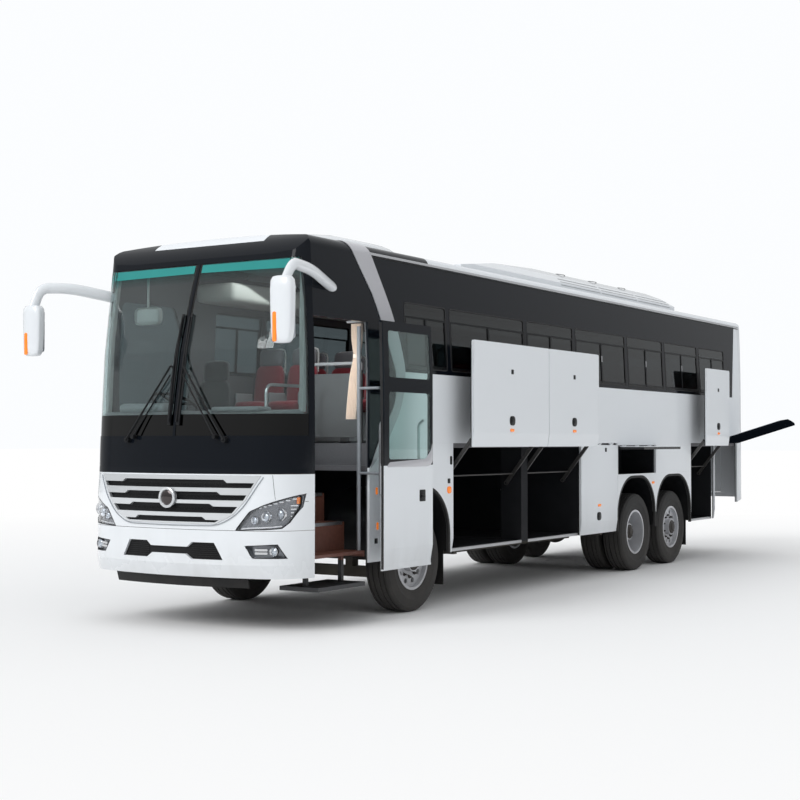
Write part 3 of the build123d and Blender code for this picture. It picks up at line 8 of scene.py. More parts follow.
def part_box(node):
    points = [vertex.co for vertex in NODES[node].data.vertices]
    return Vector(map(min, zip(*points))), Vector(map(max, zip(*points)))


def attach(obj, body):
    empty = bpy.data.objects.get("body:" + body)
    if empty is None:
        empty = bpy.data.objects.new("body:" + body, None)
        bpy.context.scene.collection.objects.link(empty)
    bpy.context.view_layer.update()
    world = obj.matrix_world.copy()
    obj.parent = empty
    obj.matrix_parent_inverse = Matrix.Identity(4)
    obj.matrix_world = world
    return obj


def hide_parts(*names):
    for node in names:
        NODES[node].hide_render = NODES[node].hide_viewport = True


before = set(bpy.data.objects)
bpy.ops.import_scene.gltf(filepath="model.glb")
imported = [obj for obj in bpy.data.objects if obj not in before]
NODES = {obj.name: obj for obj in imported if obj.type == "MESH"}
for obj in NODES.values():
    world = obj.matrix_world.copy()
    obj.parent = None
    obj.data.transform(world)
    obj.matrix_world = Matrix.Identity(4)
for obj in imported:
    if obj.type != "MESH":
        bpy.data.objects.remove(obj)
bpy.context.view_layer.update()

# Sizes and places in metres, in the coach's own frame: X to its left, Y rearwards, Z up
HALF = -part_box("right_side_wall")[0].x
BELT = 2.45
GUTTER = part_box("left_side_wall")[1].z
GUTTER_X = 1.22
LEAN = (HALF - GUTTER_X) / (GUTTER - BELT)
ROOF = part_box("roof_shell")[1].z
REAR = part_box("rear_wall")[1].y
FLOOR_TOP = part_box("saloon_floor")[1].z
TYRE_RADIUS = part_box("tyre_front_left")[1].y
DRIVE_Y = 5.72
TAG_Y = 7.09
PRINT_TOP = 2.0
TEAL_BOTTOM = 3.36

# The directions that turned forms and tubes are made in
FORWARD = (0.0, -1.0, 0.0)
REARWARD = (0.0, 1.0, 0.0)
LEFT = (1.0, 0.0, 0.0)

# The photograph's camera
CAMERA_PLACE = (8.996, -12.650, 1.736)
CAMERA_AZIMUTH = 32.21
CAMERA_PITCH = 1.694
CAMERA_LENS = 64.84

# Colours, as linear values
WHITE = (0.78, 0.81, 0.84)
BLACK = (0.0045, 0.0062, 0.0095)
INNER_TRIM = (0.105, 0.108, 0.115)
SILVER = (0.50, 0.50, 0.53)
GRIME = (0.20, 0.18, 0.15)
TRIM = (0.016, 0.017, 0.019)


# Shader nodes in a few short calls
def feed(tree, socket, value):
    """Links a socket, or sets it when the value is plain."""
    if isinstance(value, bpy.types.NodeSocket):
        tree.links.new(value, socket)
    elif socket.type == "RGBA" and len(value) == 3:
        socket.default_value = (*value, 1.0)
    else:
        socket.default_value = value


def feed_all(tree, inputs, values):
    """Feeds several inputs at once."""
    for key, value in values.items():
        feed(tree, inputs[key], value)


def add(tree, kind, inputs=None, **settings):
    """A shader node with its settings and inputs."""
    made = tree.nodes.new("ShaderNode" + kind)
    for key, value in settings.items():
        setattr(made, key, value)
    feed_all(tree, made.inputs, inputs or {})
    return made


def calc(tree, operation, first, second=0.0, third=0.0):
    """One step of arithmetic on plain values or sockets."""
    return add(tree, "Math", {0: first, 1: second, 2: third}, operation=operation).outputs[0]


def plus(tree, first, second):
    return calc(tree, "ADD", first, second)


def minus(tree, first, second):
    return calc(tree, "SUBTRACT", first, second)


def times(tree, first, second):
    """A product, which is also where both of two masks are 1."""
    return calc(tree, "MULTIPLY", first, second)


def either(tree, first, second):
    """Where either of two masks is 1."""
    return calc(tree, "MAXIMUM", first, second)


def above(tree, value, edge):
    """1 where a value is over an edge."""
    return calc(tree, "GREATER_THAN", value, edge)


def blend(tree, share, first, second):
    """A colour between two colours."""
    mixed = add(tree, "Mix", {0: share, 6: first, 7: second}, data_type="RGBA")
    return mixed.outputs[2]


def places(tree):
    """The X, Y and Z of a point in the coach's frame."""
    point = add(tree, "TexCoord").outputs["Object"]
    return add(tree, "SeparateXYZ", {0: point}).outputs


def noise(tree, scale, detail=3.0, vector=None):
    """Soft noise, from 0 to 1."""
    inputs = {"Scale": scale, "Detail": detail}
    inputs["Vector"] = vector or add(tree, "TexCoord").outputs["Object"]
    return add(tree, "TexNoise", inputs).outputs[0]


def group(name, inputs, outputs):
    """A shader node group with named inputs and outputs, and its two end nodes."""
    tree = bpy.data.node_groups.new(name, "ShaderNodeTree")
    for label, kind, value in inputs:
        socket = tree.interface.new_socket(label, in_out="INPUT", socket_type="NodeSocket" + kind)
        socket.default_value = (*value, 1.0) if kind == "Color" else value
    for label, kind in outputs:
        tree.interface.new_socket(label, in_out="OUTPUT", socket_type="NodeSocket" + kind)
    start = tree.nodes.new("NodeGroupInput")
    end = tree.nodes.new("NodeGroupOutput")
    return tree, start.outputs, end.inputs


def make_road_film():
    """Dust thrown up from the road: most of it near the ground, in soft patches and runs."""
    tree, given, out = group(
        "Road Film",
        [("Color", "Color", WHITE), ("Film Color", "Color", GRIME), ("Amount", "Float", 0.3),
         ("Height", "Float", 1.2), ("Roughness", "Float", 0.15)],
        [("Color", "Color"), ("Roughness", "Float")],
    )
    x, y, z = places(tree)[:3]
    rise = add(tree, "MapRange", {"Value": z, "From Min": 0.3, "From Max": given["Height"],
                                  "To Min": 1.0, "To Max": 0.0}).outputs[0]
    runs = add(tree, "CombineXYZ", {0: times(tree, x, 4.0), 1: times(tree, y, 4.0),
                                    2: times(tree, z, 0.7)}).outputs[0]
    patches = times(tree, noise(tree, 1.6), noise(tree, 1.3, 5.0, runs))
    most = times(tree, calc(tree, "POWER", rise, 1.6), given["Amount"])
    share = times(tree, most, times(tree, patches, 4.0))
    share = add(tree, "Clamp", {0: share}).outputs[0]
    feed(tree, out["Color"], blend(tree, share, given["Color"], given["Film Color"]))
    ripple = times(tree, minus(tree, noise(tree, 9.0), 0.5), 0.06)
    rough = plus(tree, given["Roughness"], ripple)
    rough = plus(tree, rough, times(tree, share, 0.5))
    feed(tree, out["Roughness"], rough)
    return tree


def make_fine_grain():
    """Small moulded or cast grain, as a normal."""
    tree, given, out = group(
        "Fine Grain", [("Scale", "Float", 300.0), ("Depth", "Float", 0.001)], [("Normal", "Vector")]
    )
    height = noise(tree, given["Scale"], 2.0)
    bump = add(tree, "Bump", {"Strength": 1.0, "Distance": given["Depth"], "Height": height})
    feed(tree, out["Normal"], bump.outputs[0])
    return tree


def make_weave():
    """Woven cloth: two sets of threads that cross, with a little colour between them."""
    tree, given, out = group(
        "Weave", [("Color", "Color", WHITE), ("Threads", "Float", 500.0), ("Depth", "Float", 0.0005),
                  ("Shade", "Float", 0.12)],
        [("Color", "Color"), ("Normal", "Vector")],
    )
    x, y, z = places(tree)[:3]
    warp = calc(tree, "SINE", times(tree, plus(tree, x, y), given["Threads"]))
    weft = calc(tree, "SINE", times(tree, z, given["Threads"]))
    height = times(tree, warp, weft)
    shade = calc(tree, "MULTIPLY_ADD", height, given["Shade"], given["Shade"])
    shade = plus(tree, shade, times(tree, noise(tree, 12.0), given["Shade"]))
    feed(tree, out["Color"], blend(tree, shade, given["Color"], (0.02, 0.02, 0.02)))
    bump = add(tree, "Bump", {"Strength": 0.6, "Distance": given["Depth"], "Height": height})
    feed(tree, out["Normal"], bump.outputs[0])
    return tree


ROAD_FILM = make_road_film()
FINE_GRAIN = make_fine_grain()
WEAVE = make_weave()


def use(tree, effect, inputs):
    """Places a node group with its own values and gives its outputs."""
    placed = tree.nodes.new("ShaderNodeGroup")
    placed.node_tree = effect
    feed_all(tree, placed.inputs, inputs)
    return placed.outputs


# Short names of the shader's inputs
INPUTS = {"shine": "Specular IOR Level", "metal": "Metallic", "coat": "Coat Weight",
          "coat_rough": "Coat Roughness", "clear": "Transmission Weight", "bend": "IOR",
          "glow": "Emission Color", "glow_strength": "Emission Strength"}


def new_material(name):
    """A new material, its node tree and its shader's inputs."""
    material = bpy.data.materials.new(name)
    material.use_nodes = True
    return material, material.node_tree, material.node_tree.nodes["Principled BSDF"].inputs


def finish_of(name, color, rough=0.4, grain=None, film=(0.25, 1.2), film_color=GRIME, **more):
    """A material: a colour or a function that builds it, a grain of (scale, depth), and its road film."""
    material, tree, inputs = new_material(name)
    feed_all(tree, inputs, {INPUTS[key]: value for key, value in more.items()})
    made = {"Base Color": color(tree) if callable(color) else color, "Roughness": rough}
    if film:
        dusty = use(tree, ROAD_FILM, {"Color": made["Base Color"], "Film Color": film_color,
                                      "Amount": film[0], "Height": film[1], "Roughness": rough})
        made = {"Base Color": dusty["Color"], "Roughness": dusty["Roughness"]}
    if grain:
        made["Normal"] = use(tree, FINE_GRAIN, {"Scale": grain[0], "Depth": grain[1]})["Normal"]
    feed_all(tree, inputs, made)
    return material


def line_at(tree, z, low, high):
    """The Y of a slanted edge at a height, between two (Y, Z) points."""
    slope = (high[0] - low[0]) / (high[1] - low[1])
    return calc(tree, "MULTIPLY_ADD", z, slope, low[0] - slope * low[1])


# Paint zones
# The raised lids: where their outer skin begins, and how the rear one slopes
REAR_LID_SLOPE = math.radians(17.0)
REAR_LID_SKIN = 1.757
LOCKER_LID_SKIN = 1.680
HATCH_SKIN = 1.245
RAISED_HATCH_SKIN = 1.497
BAND_REAR_EDGE = ((9.49, BELT), (9.66, 3.25))
# The middle of the silver band as (Y, Z), from its foot up: the wall is black ahead of it
SWOOSH = [(-1.02, 1.42), (-0.74, 1.70), (-0.57, 1.96), (-0.43, 2.16), (-0.41, 2.50), (-0.55, 2.89),
          (-0.72, 3.19), (-0.98, 3.56)]
DOOR_BELT = 1.515
CAP_HALF = 0.68
SKIN = 0.025


def side_paint(tree):
    """White below the belt, black glass-like band above it, black ahead of the silver band's foot."""
    x, y, z = places(tree)[:3]
    band = times(tree, above(tree, z, BELT), above(tree, line_at(tree, z, *BAND_REAR_EDGE), y))
    dark = band
    for low, high in zip(SWOOSH, SWOOSH[1:]):
        row = times(tree, above(tree, z, low[1]), above(tree, high[1], z))
        dark = either(tree, dark, times(tree, row, above(tree, line_at(tree, z, low, high), y)))
    lean = times(tree, either(tree, minus(tree, z, BELT), 0.0), LEAN)
    outside = above(tree, plus(tree, calc(tree, "ABSOLUTE", x), lean), HALF - SKIN)
    return blend(tree, outside, INNER_TRIM, blend(tree, dark, WHITE, BLACK))


def panel_paint(skin):
    """White outside, past a distance from the coach's middle, and black lining inside."""
    def build(tree):
        across = calc(tree, "ABSOLUTE", places(tree)[0])
        return blend(tree, above(tree, across, skin), TRIM, WHITE)
    return build


def lid_paint(tree):
    """White on the upper, outer face of the raised rear lid, black underneath."""
    x, y, z = places(tree)[:3]
    rise = times(tree, minus(tree, x, HALF), math.tan(REAR_LID_SLOPE))
    return blend(tree, above(tree, z, plus(tree, rise, REAR_LID_SKIN)), BLACK, WHITE)


def locker_lid_paint(tree):
    """White on top of the raised lid over the wheels, black underneath."""
    return blend(tree, above(tree, places(tree)[2], LOCKER_LID_SKIN), TRIM, WHITE)


def rail_metal(tree):
    """The handrails: bright bars, and a board between them ahead of the first seats, darkened to grey as
    painted shade.
    """
    x, y, z = places(tree)[:3]
    shaded_board = times(tree, times(tree, above(tree, x, 0.43), above(tree, 1.16, x)), above(tree, 2.46, z))
    # The board's dark grey is painted shade, standing in for the shadow of the doorway it sits in.
    return blend(tree, shaded_board, (0.55, 0.56, 0.58), (0.16, 0.165, 0.17))


def step_cover(tree):
    """Red-brown wood on the treads inside, a dark plate on the step under the door."""
    inside = above(tree, places(tree)[2], 0.60)
    wood = blend(tree, noise(tree, 26.0, 4.0), (0.085, 0.032, 0.022), (0.17, 0.07, 0.05))
    return blend(tree, inside, (0.03, 0.031, 0.034), wood)


def door_paint(tree):
    """The passenger door: black round its glass, white below."""
    z = places(tree)[2]
    return blend(tree, above(tree, z, DOOR_BELT), WHITE, BLACK)


def roof_paint(tree):
    """White, with a black cap over the driver."""
    x, y, z = places(tree)[:3]
    middle = calc(tree, "LESS_THAN", calc(tree, "ABSOLUTE", x), CAP_HALF)
    cap_end = calc(tree, "MULTIPLY_ADD", middle, -2.6, 0.25)
    return blend(tree, above(tree, cap_end, y), WHITE, BLACK)


def screen_tint(tree):
    """The windscreen: black print at its foot and edges, teal shade band at its head."""
    x, y, z = places(tree)[:3]
    across = calc(tree, "ABSOLUTE", x)
    shade = add(tree, "MapRange", {"Value": z, "From Min": TEAL_BOTTOM - 0.10,
                                   "From Max": TEAL_BOTTOM}).outputs[0]
    tint = blend(tree, shade, (0.66, 0.76, 0.76), (0.03, 0.38, 0.36))
    foot = above(tree, PRINT_TOP, z)
    middle = above(tree, 0.035, across)
    printed = either(tree, foot, middle)
    return blend(tree, printed, tint, (0.0, 0.0, 0.0))


def mottled(low, high, scale):
    """A colour that drifts between two shades."""
    def build(tree):
        return blend(tree, noise(tree, scale, 4.0), low, high)
    return build


GLOSS = {"coat": 0.6, "coat_rough": 0.05}
WHITE_PAINT = finish_of("white_paint", WHITE, 0.22, **GLOSS)
SIDE_PAINT = finish_of("side_paint", side_paint, 0.12, shine=0.2)
ROOF_PAINT = finish_of("roof_paint", roof_paint, 0.16, shine=0.2)
BLACK_PAINT = finish_of("black_paint", BLACK, 0.08, shine=0.18)
DOOR_PAINT = finish_of("door_paint", door_paint, 0.12, shine=0.2)
HATCH_PAINT = finish_of("hatch_paint", panel_paint(HATCH_SKIN), 0.3, shine=0.1)
RAISED_HATCH_PAINT = finish_of("raised_hatch_paint", panel_paint(RAISED_HATCH_SKIN), 0.2, shine=0.35)
REAR_LID_PAINT = finish_of("rear_lid_paint", lid_paint, 0.6, shine=0.0)
LOCKER_LID_PAINT = finish_of("locker_lid_paint", locker_lid_paint, 0.2, shine=0.35)
SILVER_PAINT = finish_of("silver_paint", SILVER, 0.3, metal=0.35, **GLOSS)
BLACK_LINING = finish_of("bay_black", mottled((0.008, 0.009, 0.011), (0.022, 0.023, 0.026), 3.0), 0.6,
                         (160.0, 0.0006), (0.04, 1.2), shine=0.1)
BLACK_PLASTIC = finish_of("black_plastic", (0.008, 0.0085, 0.010), 0.45, (700.0, 0.0003), (0.06, 1.2),
                          shine=0.2)
GREY_PLASTIC = finish_of("grey_plastic", (0.30, 0.31, 0.32), 0.5, (600.0, 0.0003), None)
RUBBER = finish_of("rubber", mottled((0.010, 0.010, 0.011), (0.020, 0.020, 0.021), 30.0), 0.75,
                   (260.0, 0.0008), (0.5, 1.1), (0.09, 0.085, 0.078))
CHROME = finish_of("bright_metal", (0.72, 0.73, 0.75), 0.12, metal=1.0)
ALUMINIUM = finish_of("aluminium", (0.55, 0.56, 0.58), 0.32, (500.0, 0.0002), metal=0.9)
GREY_STEEL = finish_of("grey_steel", (0.33, 0.35, 0.38), 0.4, metal=0.4)
WHEEL_SILVER = finish_of("wheel_silver", (0.62, 0.63, 0.66), 0.34, None, (0.3, 1.4), (0.16, 0.15, 0.14),
                         metal=0.35)
CHASSIS = finish_of("chassis_black", mottled((0.010, 0.010, 0.010), (0.030, 0.028, 0.026), 6.0), 0.6,
                    (220.0, 0.0008), (0.5, 1.6))
ENGINE = finish_of("cast_engine", mottled((0.05, 0.05, 0.05), (0.10, 0.095, 0.09), 14.0), 0.7,
                   (180.0, 0.0015))
STEP_WOOD = finish_of("step_cover", step_cover, 0.42, film=None)
RAIL_METAL = finish_of("rail_metal", rail_metal, 0.32, film=None, metal=0.35)
FLOOR_COVER = finish_of("floor_cover", mottled((0.10, 0.10, 0.11), (0.15, 0.15, 0.16), 60.0), 0.6, film=None)
HEADLINING = finish_of("headlining", (0.62, 0.60, 0.56), 0.8, (300.0, 0.0005), None)
GLASS = {"rough": 0.0, "film": None, "clear": 1.0, "bend": 1.45}
DARK_GLASS = finish_of("dark_glass", (0.060, 0.075, 0.080), **GLASS)
SCREEN_GLASS = finish_of("screen_glass", screen_tint, **GLASS)
DOOR_GLASS = finish_of("door_glass", (0.60, 0.78, 0.75), **GLASS)
CLEAR_GLASS = finish_of("clear_glass", (0.95, 0.96, 0.97), **GLASS)
AMBER = finish_of("amber_lens", (0.90, 0.22, 0.01), 0.15, film=None, coat=0.5, glow=(1.0, 0.25, 0.02),
                  glow_strength=0.25)
RED_LENS = finish_of("red_lens", (0.45, 0.010, 0.008), 0.12, film=None, coat=0.5)
CLEAR_LENS = finish_of("clear_lens", (0.75, 0.77, 0.80), 0.12, film=None, coat=0.6)
TEAL_FILM = finish_of("teal_film", mottled((0.012, 0.20, 0.19), (0.03, 0.30, 0.28), 2.0), 0.06,
                      film=None, shine=0.3)
MIRROR = finish_of("mirror_glass", (0.80, 0.82, 0.84), 0.02, film=None, metal=1.0)
EYE_GLASS = finish_of("eye_glass", (0.55, 0.60, 0.66), 0.05, film=None, metal=0.7, coat=0.6)
LAMP_GREY = finish_of("lamp_grey", (0.22, 0.23, 0.25), 0.25, film=None, metal=0.6)
BRIGHT_WHITE = finish_of("bright_white", (0.68, 0.70, 0.72), 0.18, metal=0.45, coat=0.5)
DARK_CHROME = finish_of("dark_chrome", (0.06, 0.05, 0.05), 0.12, metal=0.8, coat=0.5)
DARK_STEEL = finish_of("dark_steel", mottled((0.05, 0.05, 0.052), (0.12, 0.115, 0.11), 40.0), 0.45,
                       None, (0.6, 1.2), (0.08, 0.07, 0.06), metal=0.6)
BLACK_SATIN = finish_of("black_satin", (0.006, 0.007, 0.008), 0.3, film=None, shine=0.15)
PALE_PLASTIC = finish_of("pale_plastic", (0.50, 0.51, 0.50), 0.5, (500.0, 0.0003), None)
TYRE_RUBBER = finish_of("tyre_rubber", mottled((0.011, 0.011, 0.012), (0.026, 0.025, 0.024), 22.0), 0.7,
                        (240.0, 0.0010), (0.45, 1.1), (0.075, 0.07, 0.065))


def cloth(name, color, threads, sheen, shade=0.12):
    """Woven cloth with a soft sheen."""
    material, tree, inputs = new_material(name)
    woven = use(tree, WEAVE, {"Color": color, "Threads": threads, "Shade": shade})
    feed_all(tree, inputs, {"Base Color": woven["Color"], "Normal": woven["Normal"], "Roughness": 0.85,
                        "Sheen Weight": sheen})
    return material


SEAT_CLOTH = cloth("seat_cloth", (0.30, 0.025, 0.04), 900.0, 0.4)
SEAT_GREY = cloth("seat_grey_cloth", (0.22, 0.22, 0.24), 900.0, 0.3)
# The curtain's colour is lifted above the cloth's own beige, and its weave darkened less, as painted light in
# the shaded doorway.
CURTAIN_CLOTH = cloth("curtain_cloth", (1.0, 0.86, 0.74), 1400.0, 0.3, 0.05)
DRIVER_CLOTH = cloth("driver_seat_cloth", (0.020, 0.021, 0.024), 900.0, 0.3)

# Which finish each node of the frame gets, by the start of its name
NODE_FINISHES = [
    ("left_side_wall", SIDE_PAINT), ("right_side_wall", SIDE_PAINT), ("roof_shell", ROOF_PAINT),
    ("front_mask", BLACK_PAINT), ("silver_bands", SILVER_PAINT), ("grille_mesh", BLACK_PLASTIC),
    ("grille", BRIGHT_WHITE), ("windscreen", SCREEN_GLASS), ("side_windows", DARK_GLASS),
    ("door_glass", DOOR_GLASS), ("passenger_door", DOOR_PAINT), ("lamps", CLEAR_LENS),
    ("luggage_bays", BLACK_LINING), ("wheel_arch_liners", BLACK_PLASTIC), ("chassis", CHASSIS),
    ("axles", CHASSIS), ("knuckle", CHASSIS), ("engine_block", ENGINE), ("entry_steps", STEP_WOOD),
    ("saloon_floor", FLOOR_COVER), ("dashboard", GREY_PLASTIC), ("steering_wheel", BLACK_PLASTIC),
    ("door_arms", GREY_STEEL), ("handrails", RAIL_METAL), ("wipers", BLACK_PLASTIC),
    ("mirrors", WHITE_PAINT), ("tyre", RUBBER), ("rim", WHEEL_SILVER), ("seats", SEAT_CLOTH),
    ("door_curtain", CURTAIN_CLOTH), ("rear_side_lid", REAR_LID_PAINT),
    ("over_wheel_lid", LOCKER_LID_PAINT), ("hatch_left", RAISED_HATCH_PAINT),
    ("hatch_right", HATCH_PAINT), ("service_hatch", HATCH_PAINT), ("", WHITE_PAINT),
]


def dress_nodes():
    """Gives each node of the frame its finish."""
    for name, node in NODES.items():
        finish = next(made for start, made in NODE_FINISHES if name.startswith(start))
        if name.startswith("hatch") and name.endswith("_arms"):
            finish = DARK_STEEL
        node.data.materials.clear()
        node.data.materials.append(finish)


dress_nodes()

# The slot of each finish that the pieces made here wear
SLOTS = {finish.name: slot for slot, finishes in {
    "dark_trim": (RUBBER, BLACK_PLASTIC, GREY_PLASTIC, BLACK_SATIN, LAMP_GREY, DARK_CHROME),
    "bright_trim": (CHROME, ALUMINIUM, BRIGHT_WHITE, MIRROR),
    "lamp_lens": (CLEAR_GLASS, EYE_GLASS, AMBER, RED_LENS, CLEAR_LENS),
    "white_paint": (WHITE_PAINT, PALE_PLASTIC, HEADLINING),
    "seat_cloth": (SEAT_CLOTH, SEAT_GREY, DRIVER_CLOTH),
    "grey_steel": (GREY_STEEL, DARK_STEEL), "silver_paint": (SILVER_PAINT,), "tyre_rubber": (TYRE_RUBBER,),
    "teal_glass": (TEAL_FILM,), "curtain_cloth": (CURTAIN_CLOTH,), "bay_lining": (BLACK_LINING,),
}.items() for finish in finishes}


# Making meshes
def surface_of(*names):
    """A search tree over the faces of some nodes, so that pieces can be laid on them."""
    bm = bmesh.new()
    for name in names:
        bm.from_mesh(NODES[name].data)
    tree = BVHTree.FromBMesh(bm)
    bm.free()
    return tree


NOSE = surface_of("front_mask", "front_panel", "front_bumper", "windscreen", "lamps", "grille_mesh")
NOSE_REAR = -1.84
UNIT = surface_of("roof_air_conditioner")
SCREEN = surface_of("windscreen")
SCREEN_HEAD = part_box("windscreen")[1].z


def hit(surface, start, way):
    """Where a ray from a point first meets a surface, or None."""
    return surface.ray_cast(Vector(start), Vector(way))[0]


def front_y(x, z):
    """The Y of the nose's skin at a place seen from the front."""
    for step in range(12):
        place = hit(NOSE, (x * (1.0 - 0.004 * step), -4.0, z), REARWARD)
        if place and place.y < NOSE_REAR:
            return place.y
    return NOSE_REAR


def wall_x(z):
    """The X of the side wall's skin at a height."""
    return HALF - max(0.0, z - BELT) * LEAN


# Each puts a flat (across, up, thickness) shape on a surface, standing out from it
def on_nose(out=0.0):
    return lambda u, v, w: Vector((u, front_y(u, v) - out - w, v))


def on_side(side, out=0.0):
    return lambda u, v, w: Vector((side * (wall_x(v) + out + w), u, v))


def on_plane(x, side=1):
    return lambda u, v, w: Vector((side * (x + w), u, v))


def on_rear(out=0.0):
    return lambda u, v, w: Vector((u, REAR + out + w, v))


def on_screen(u, v, w):
    place = hit(SCREEN, (u, -4.0, v), REARWARD)
    return Vector((u, (place.y if place else -1.9) - 0.0005 - w, v))


def new_meshes(count):
    """Empty meshes for pieces to be made in."""
    return [bmesh.new() for _ in range(count)]


def make_piece(name, bm, finish, slot=None, body="coach", replaces=(), sharp=32.0):
    """A finished piece: doubles merged, faces outwards, edges sharp past an angle, carried by its body."""
    bmesh.ops.remove_doubles(bm, verts=bm.verts[:], dist=1e-5)
    bmesh.ops.recalc_face_normals(bm, faces=bm.faces[:])
    for face in bm.faces:
        face.smooth = True
    for edge in bm.edges:
        edge.smooth = len(edge.link_faces) == 2 and edge.calc_face_angle(0.0) < math.radians(sharp)
    mesh = bpy.data.meshes.new(name)
    bm.to_mesh(mesh)
    bm.free()
    mesh.materials.append(finish)
    piece = bpy.data.objects.new(name, mesh)
    bpy.context.scene.collection.objects.link(piece)
    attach(piece, body)
    slot or SLOTS[finish.name]
    if replaces:
        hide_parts(*replaces)
    return piece


def round_edges(bm, edges, offset, steps=2):
    bmesh.ops.bevel(bm, geom=edges, offset=offset, segments=steps, profile=0.5, material=-1, affect="EDGES")


def add_block(bm, low, high, rounding, steps=2):
    """A block between two corners, with its edges rounded."""
    made = bmesh.ops.create_cube(bm, size=1.0)["verts"]
    low, high = Vector(low), Vector(high)
    bmesh.ops.scale(bm, vec=high - low, verts=made)
    bmesh.ops.translate(bm, vec=(low + high) / 2, verts=made)
    round_edges(bm, list({edge for vert in made for edge in vert.link_edges}), rounding, steps)


def add_rod(bm, start, end, radius, sides=12, far_radius=None):
    """A round rod or cone between two points."""
    start, end = Vector(start), Vector(end)
    way = end - start
    matrix = Matrix.Translation((start + end) / 2) @ way.to_track_quat("Z", "Y").to_matrix().to_4x4()
    bmesh.ops.create_cone(bm, cap_ends=True, segments=sides, radius1=radius, radius2=far_radius or radius,
                          depth=way.length, matrix=matrix)


def merge(bm, own):
    """Moves all of one mesh into another."""
    mesh = bpy.data.meshes.new("part")
    own.to_mesh(mesh)
    own.free()
    bm.from_mesh(mesh)
    bpy.data.meshes.remove(mesh)


def add_turned(bm, profile, place, axis=LEFT, steps=32):
    """A shape turned from (distance along the axis, radius) points."""
    own = bmesh.new()
    verts = [own.verts.new((along, 0.0, radius)) for along, radius in profile]
    edges = [own.edges.new(pair) for pair in zip(verts, verts[1:])]
    bmesh.ops.spin(own, geom=verts + edges, cent=(0.0, 0.0, 0.0), axis=LEFT, angle=2 * math.pi, steps=steps,
                   use_merge=True)
    turn = Vector(axis).to_track_quat("X", "Z").to_matrix().to_4x4()
    bmesh.ops.transform(own, matrix=Matrix.Translation(place) @ turn, verts=own.verts[:])
    merge(bm, own)


def add_round_cube(bm, cuts, power, form, middle=(0.0, 0.0, 0.0), lean=0.0):
    """A rounded cube put in shape by form(its place before, its place rounded), leaning back by an angle."""
    own = bmesh.new()
    bmesh.ops.create_cube(own, size=2.0)
    bmesh.ops.subdivide_edges(own, edges=own.edges[:], cuts=cuts, use_grid_fill=True)
    for vert in own.verts:
        raw = tuple(vert.co)
        bulge = sum(abs(value) ** power for value in raw) ** (1 / power)
        vert.co = form(raw, [value / bulge for value in raw])
    bmesh.ops.rotate(own, cent=(0.0, 0.0, 0.0), matrix=Matrix.Rotation(lean, 3, "X"), verts=own.verts)
    bmesh.ops.translate(own, vec=middle, verts=own.verts)
    merge(bm, own)


def between(low, high, steps):
    """Evenly spaced values from low to high, both included."""
    return [low + (high - low) * i / steps for i in range(steps + 1)]


def around(count, across, up=None, turn=0.0):
    """Points round a circle or an oval about the origin."""
    angles = [2 * math.pi * (i + turn) / count for i in range(count)]
    return [(across * math.cos(angle), (across if up is None else up) * math.sin(angle)) for angle in angles]


def rounded(corners, radius, steps=4, closed=True):
    """An outline or a path whose corners are turned with short curves."""
    points = [Vector(corner) for corner in corners]
    made = []
    for i, point in enumerate(points):
        if not closed and i in (0, len(points) - 1):
            made.append(point)
            continue
        before, after = points[i - 1], points[(i + 1) % len(points)]
        reach = min(radius, 0.45 * (before - point).length, 0.45 * (after - point).length)
        start = point + (before - point).normalized() * reach
        end = point + (after - point).normalized() * reach
        made += [start * (1 - t) ** 2 + point * (2 * t * (1 - t)) + end * t ** 2
                 for t in between(0, 1, steps)]
    return made


def add_plate(bm, outline, depth, place, grid=0.0, rounding=0.0, rim=0.0):
    """A flat outline given a thickness, cut where it has to bend, and put in place. Rim keeps its edge."""
    own = bmesh.new()
    own.faces.new([own.verts.new((point[0], point[1], 0.0)) for point in outline])
    own.normal_update()
    if rim:
        made = bmesh.ops.inset_region(own, faces=own.faces[:], thickness=rim, use_boundary=True,
                                      use_even_offset=True)["faces"]
        bmesh.ops.delete(own, geom=list(set(own.faces) - set(made)), context="FACES")
    for axis in (0, 1) if grid else ():
        spread = [vert.co[axis] for vert in own.verts]
        low, high = min(spread), max(spread)
        for at in between(low, high, int((high - low) / grid) + 1)[1:-1]:
            cut, normal = [0.0] * 3, [0.0] * 3
            cut[axis], normal[axis] = at, 1.0
            bmesh.ops.bisect_plane(own, geom=own.verts[:] + own.edges[:] + own.faces[:], plane_co=cut,
                                   plane_no=normal, dist=1e-5)
    own.normal_update()
    bmesh.ops.solidify(own, geom=own.faces[:], thickness=depth)
    floor = min(vert.co.z for vert in own.verts)
    for vert in own.verts:
        vert.co.z -= floor
    if rounding:
        outer = [edge for edge in own.edges
                 if all(vert.co.z > depth * 0.9 for vert in edge.verts) and edge.calc_face_angle(0.0) > 1.0]
        round_edges(own, outer, rounding)
    for vert in own.verts:
        vert.co = place(*vert.co)
    bmesh.ops.recalc_face_normals(own, faces=own.faces[:])
    merge(bm, own)


def add_tile(bm, low, high, radius, depth, place, **more):
    """A rectangular plate between two corners, with round corners."""
    corners = [low, (high[0], low[1]), high, (low[0], high[1])]
    add_plate(bm, rounded(corners, radius), depth, place, **more)


def add_tube(bm, points, section, scales=None, up=(0.0, 0.0, 1.0), closed=False):
    """A section of (across, upwards) points carried along a path."""
    points = [Vector(point) for point in points]
    count = len(points)
    rings = []
    for i, point in enumerate(points):
        ahead = points[(i + 1) % count] if closed or i < count - 1 else point
        behind = points[i - 1] if closed or i > 0 else point
        way = (ahead - behind).normalized()
        across = way.cross(Vector(up)).normalized()
        rise = across.cross(way)
        scale = scales(i / (count - 1)) if scales else 1.0
        rings.append([bm.verts.new(point + across * (a * scale) + rise * (b * scale)) for a, b in section])
    for near, far in list(zip(rings, rings[1:])) + ([(rings[-1], rings[0])] if closed else []):
        for k in range(len(section)):
            after = (k + 1) % len(section)
            bm.faces.new((near[k], near[after], far[after], far[k]))
    if not closed:
        bm.faces.new(rings[0][::-1])
        bm.faces.new(rings[-1])


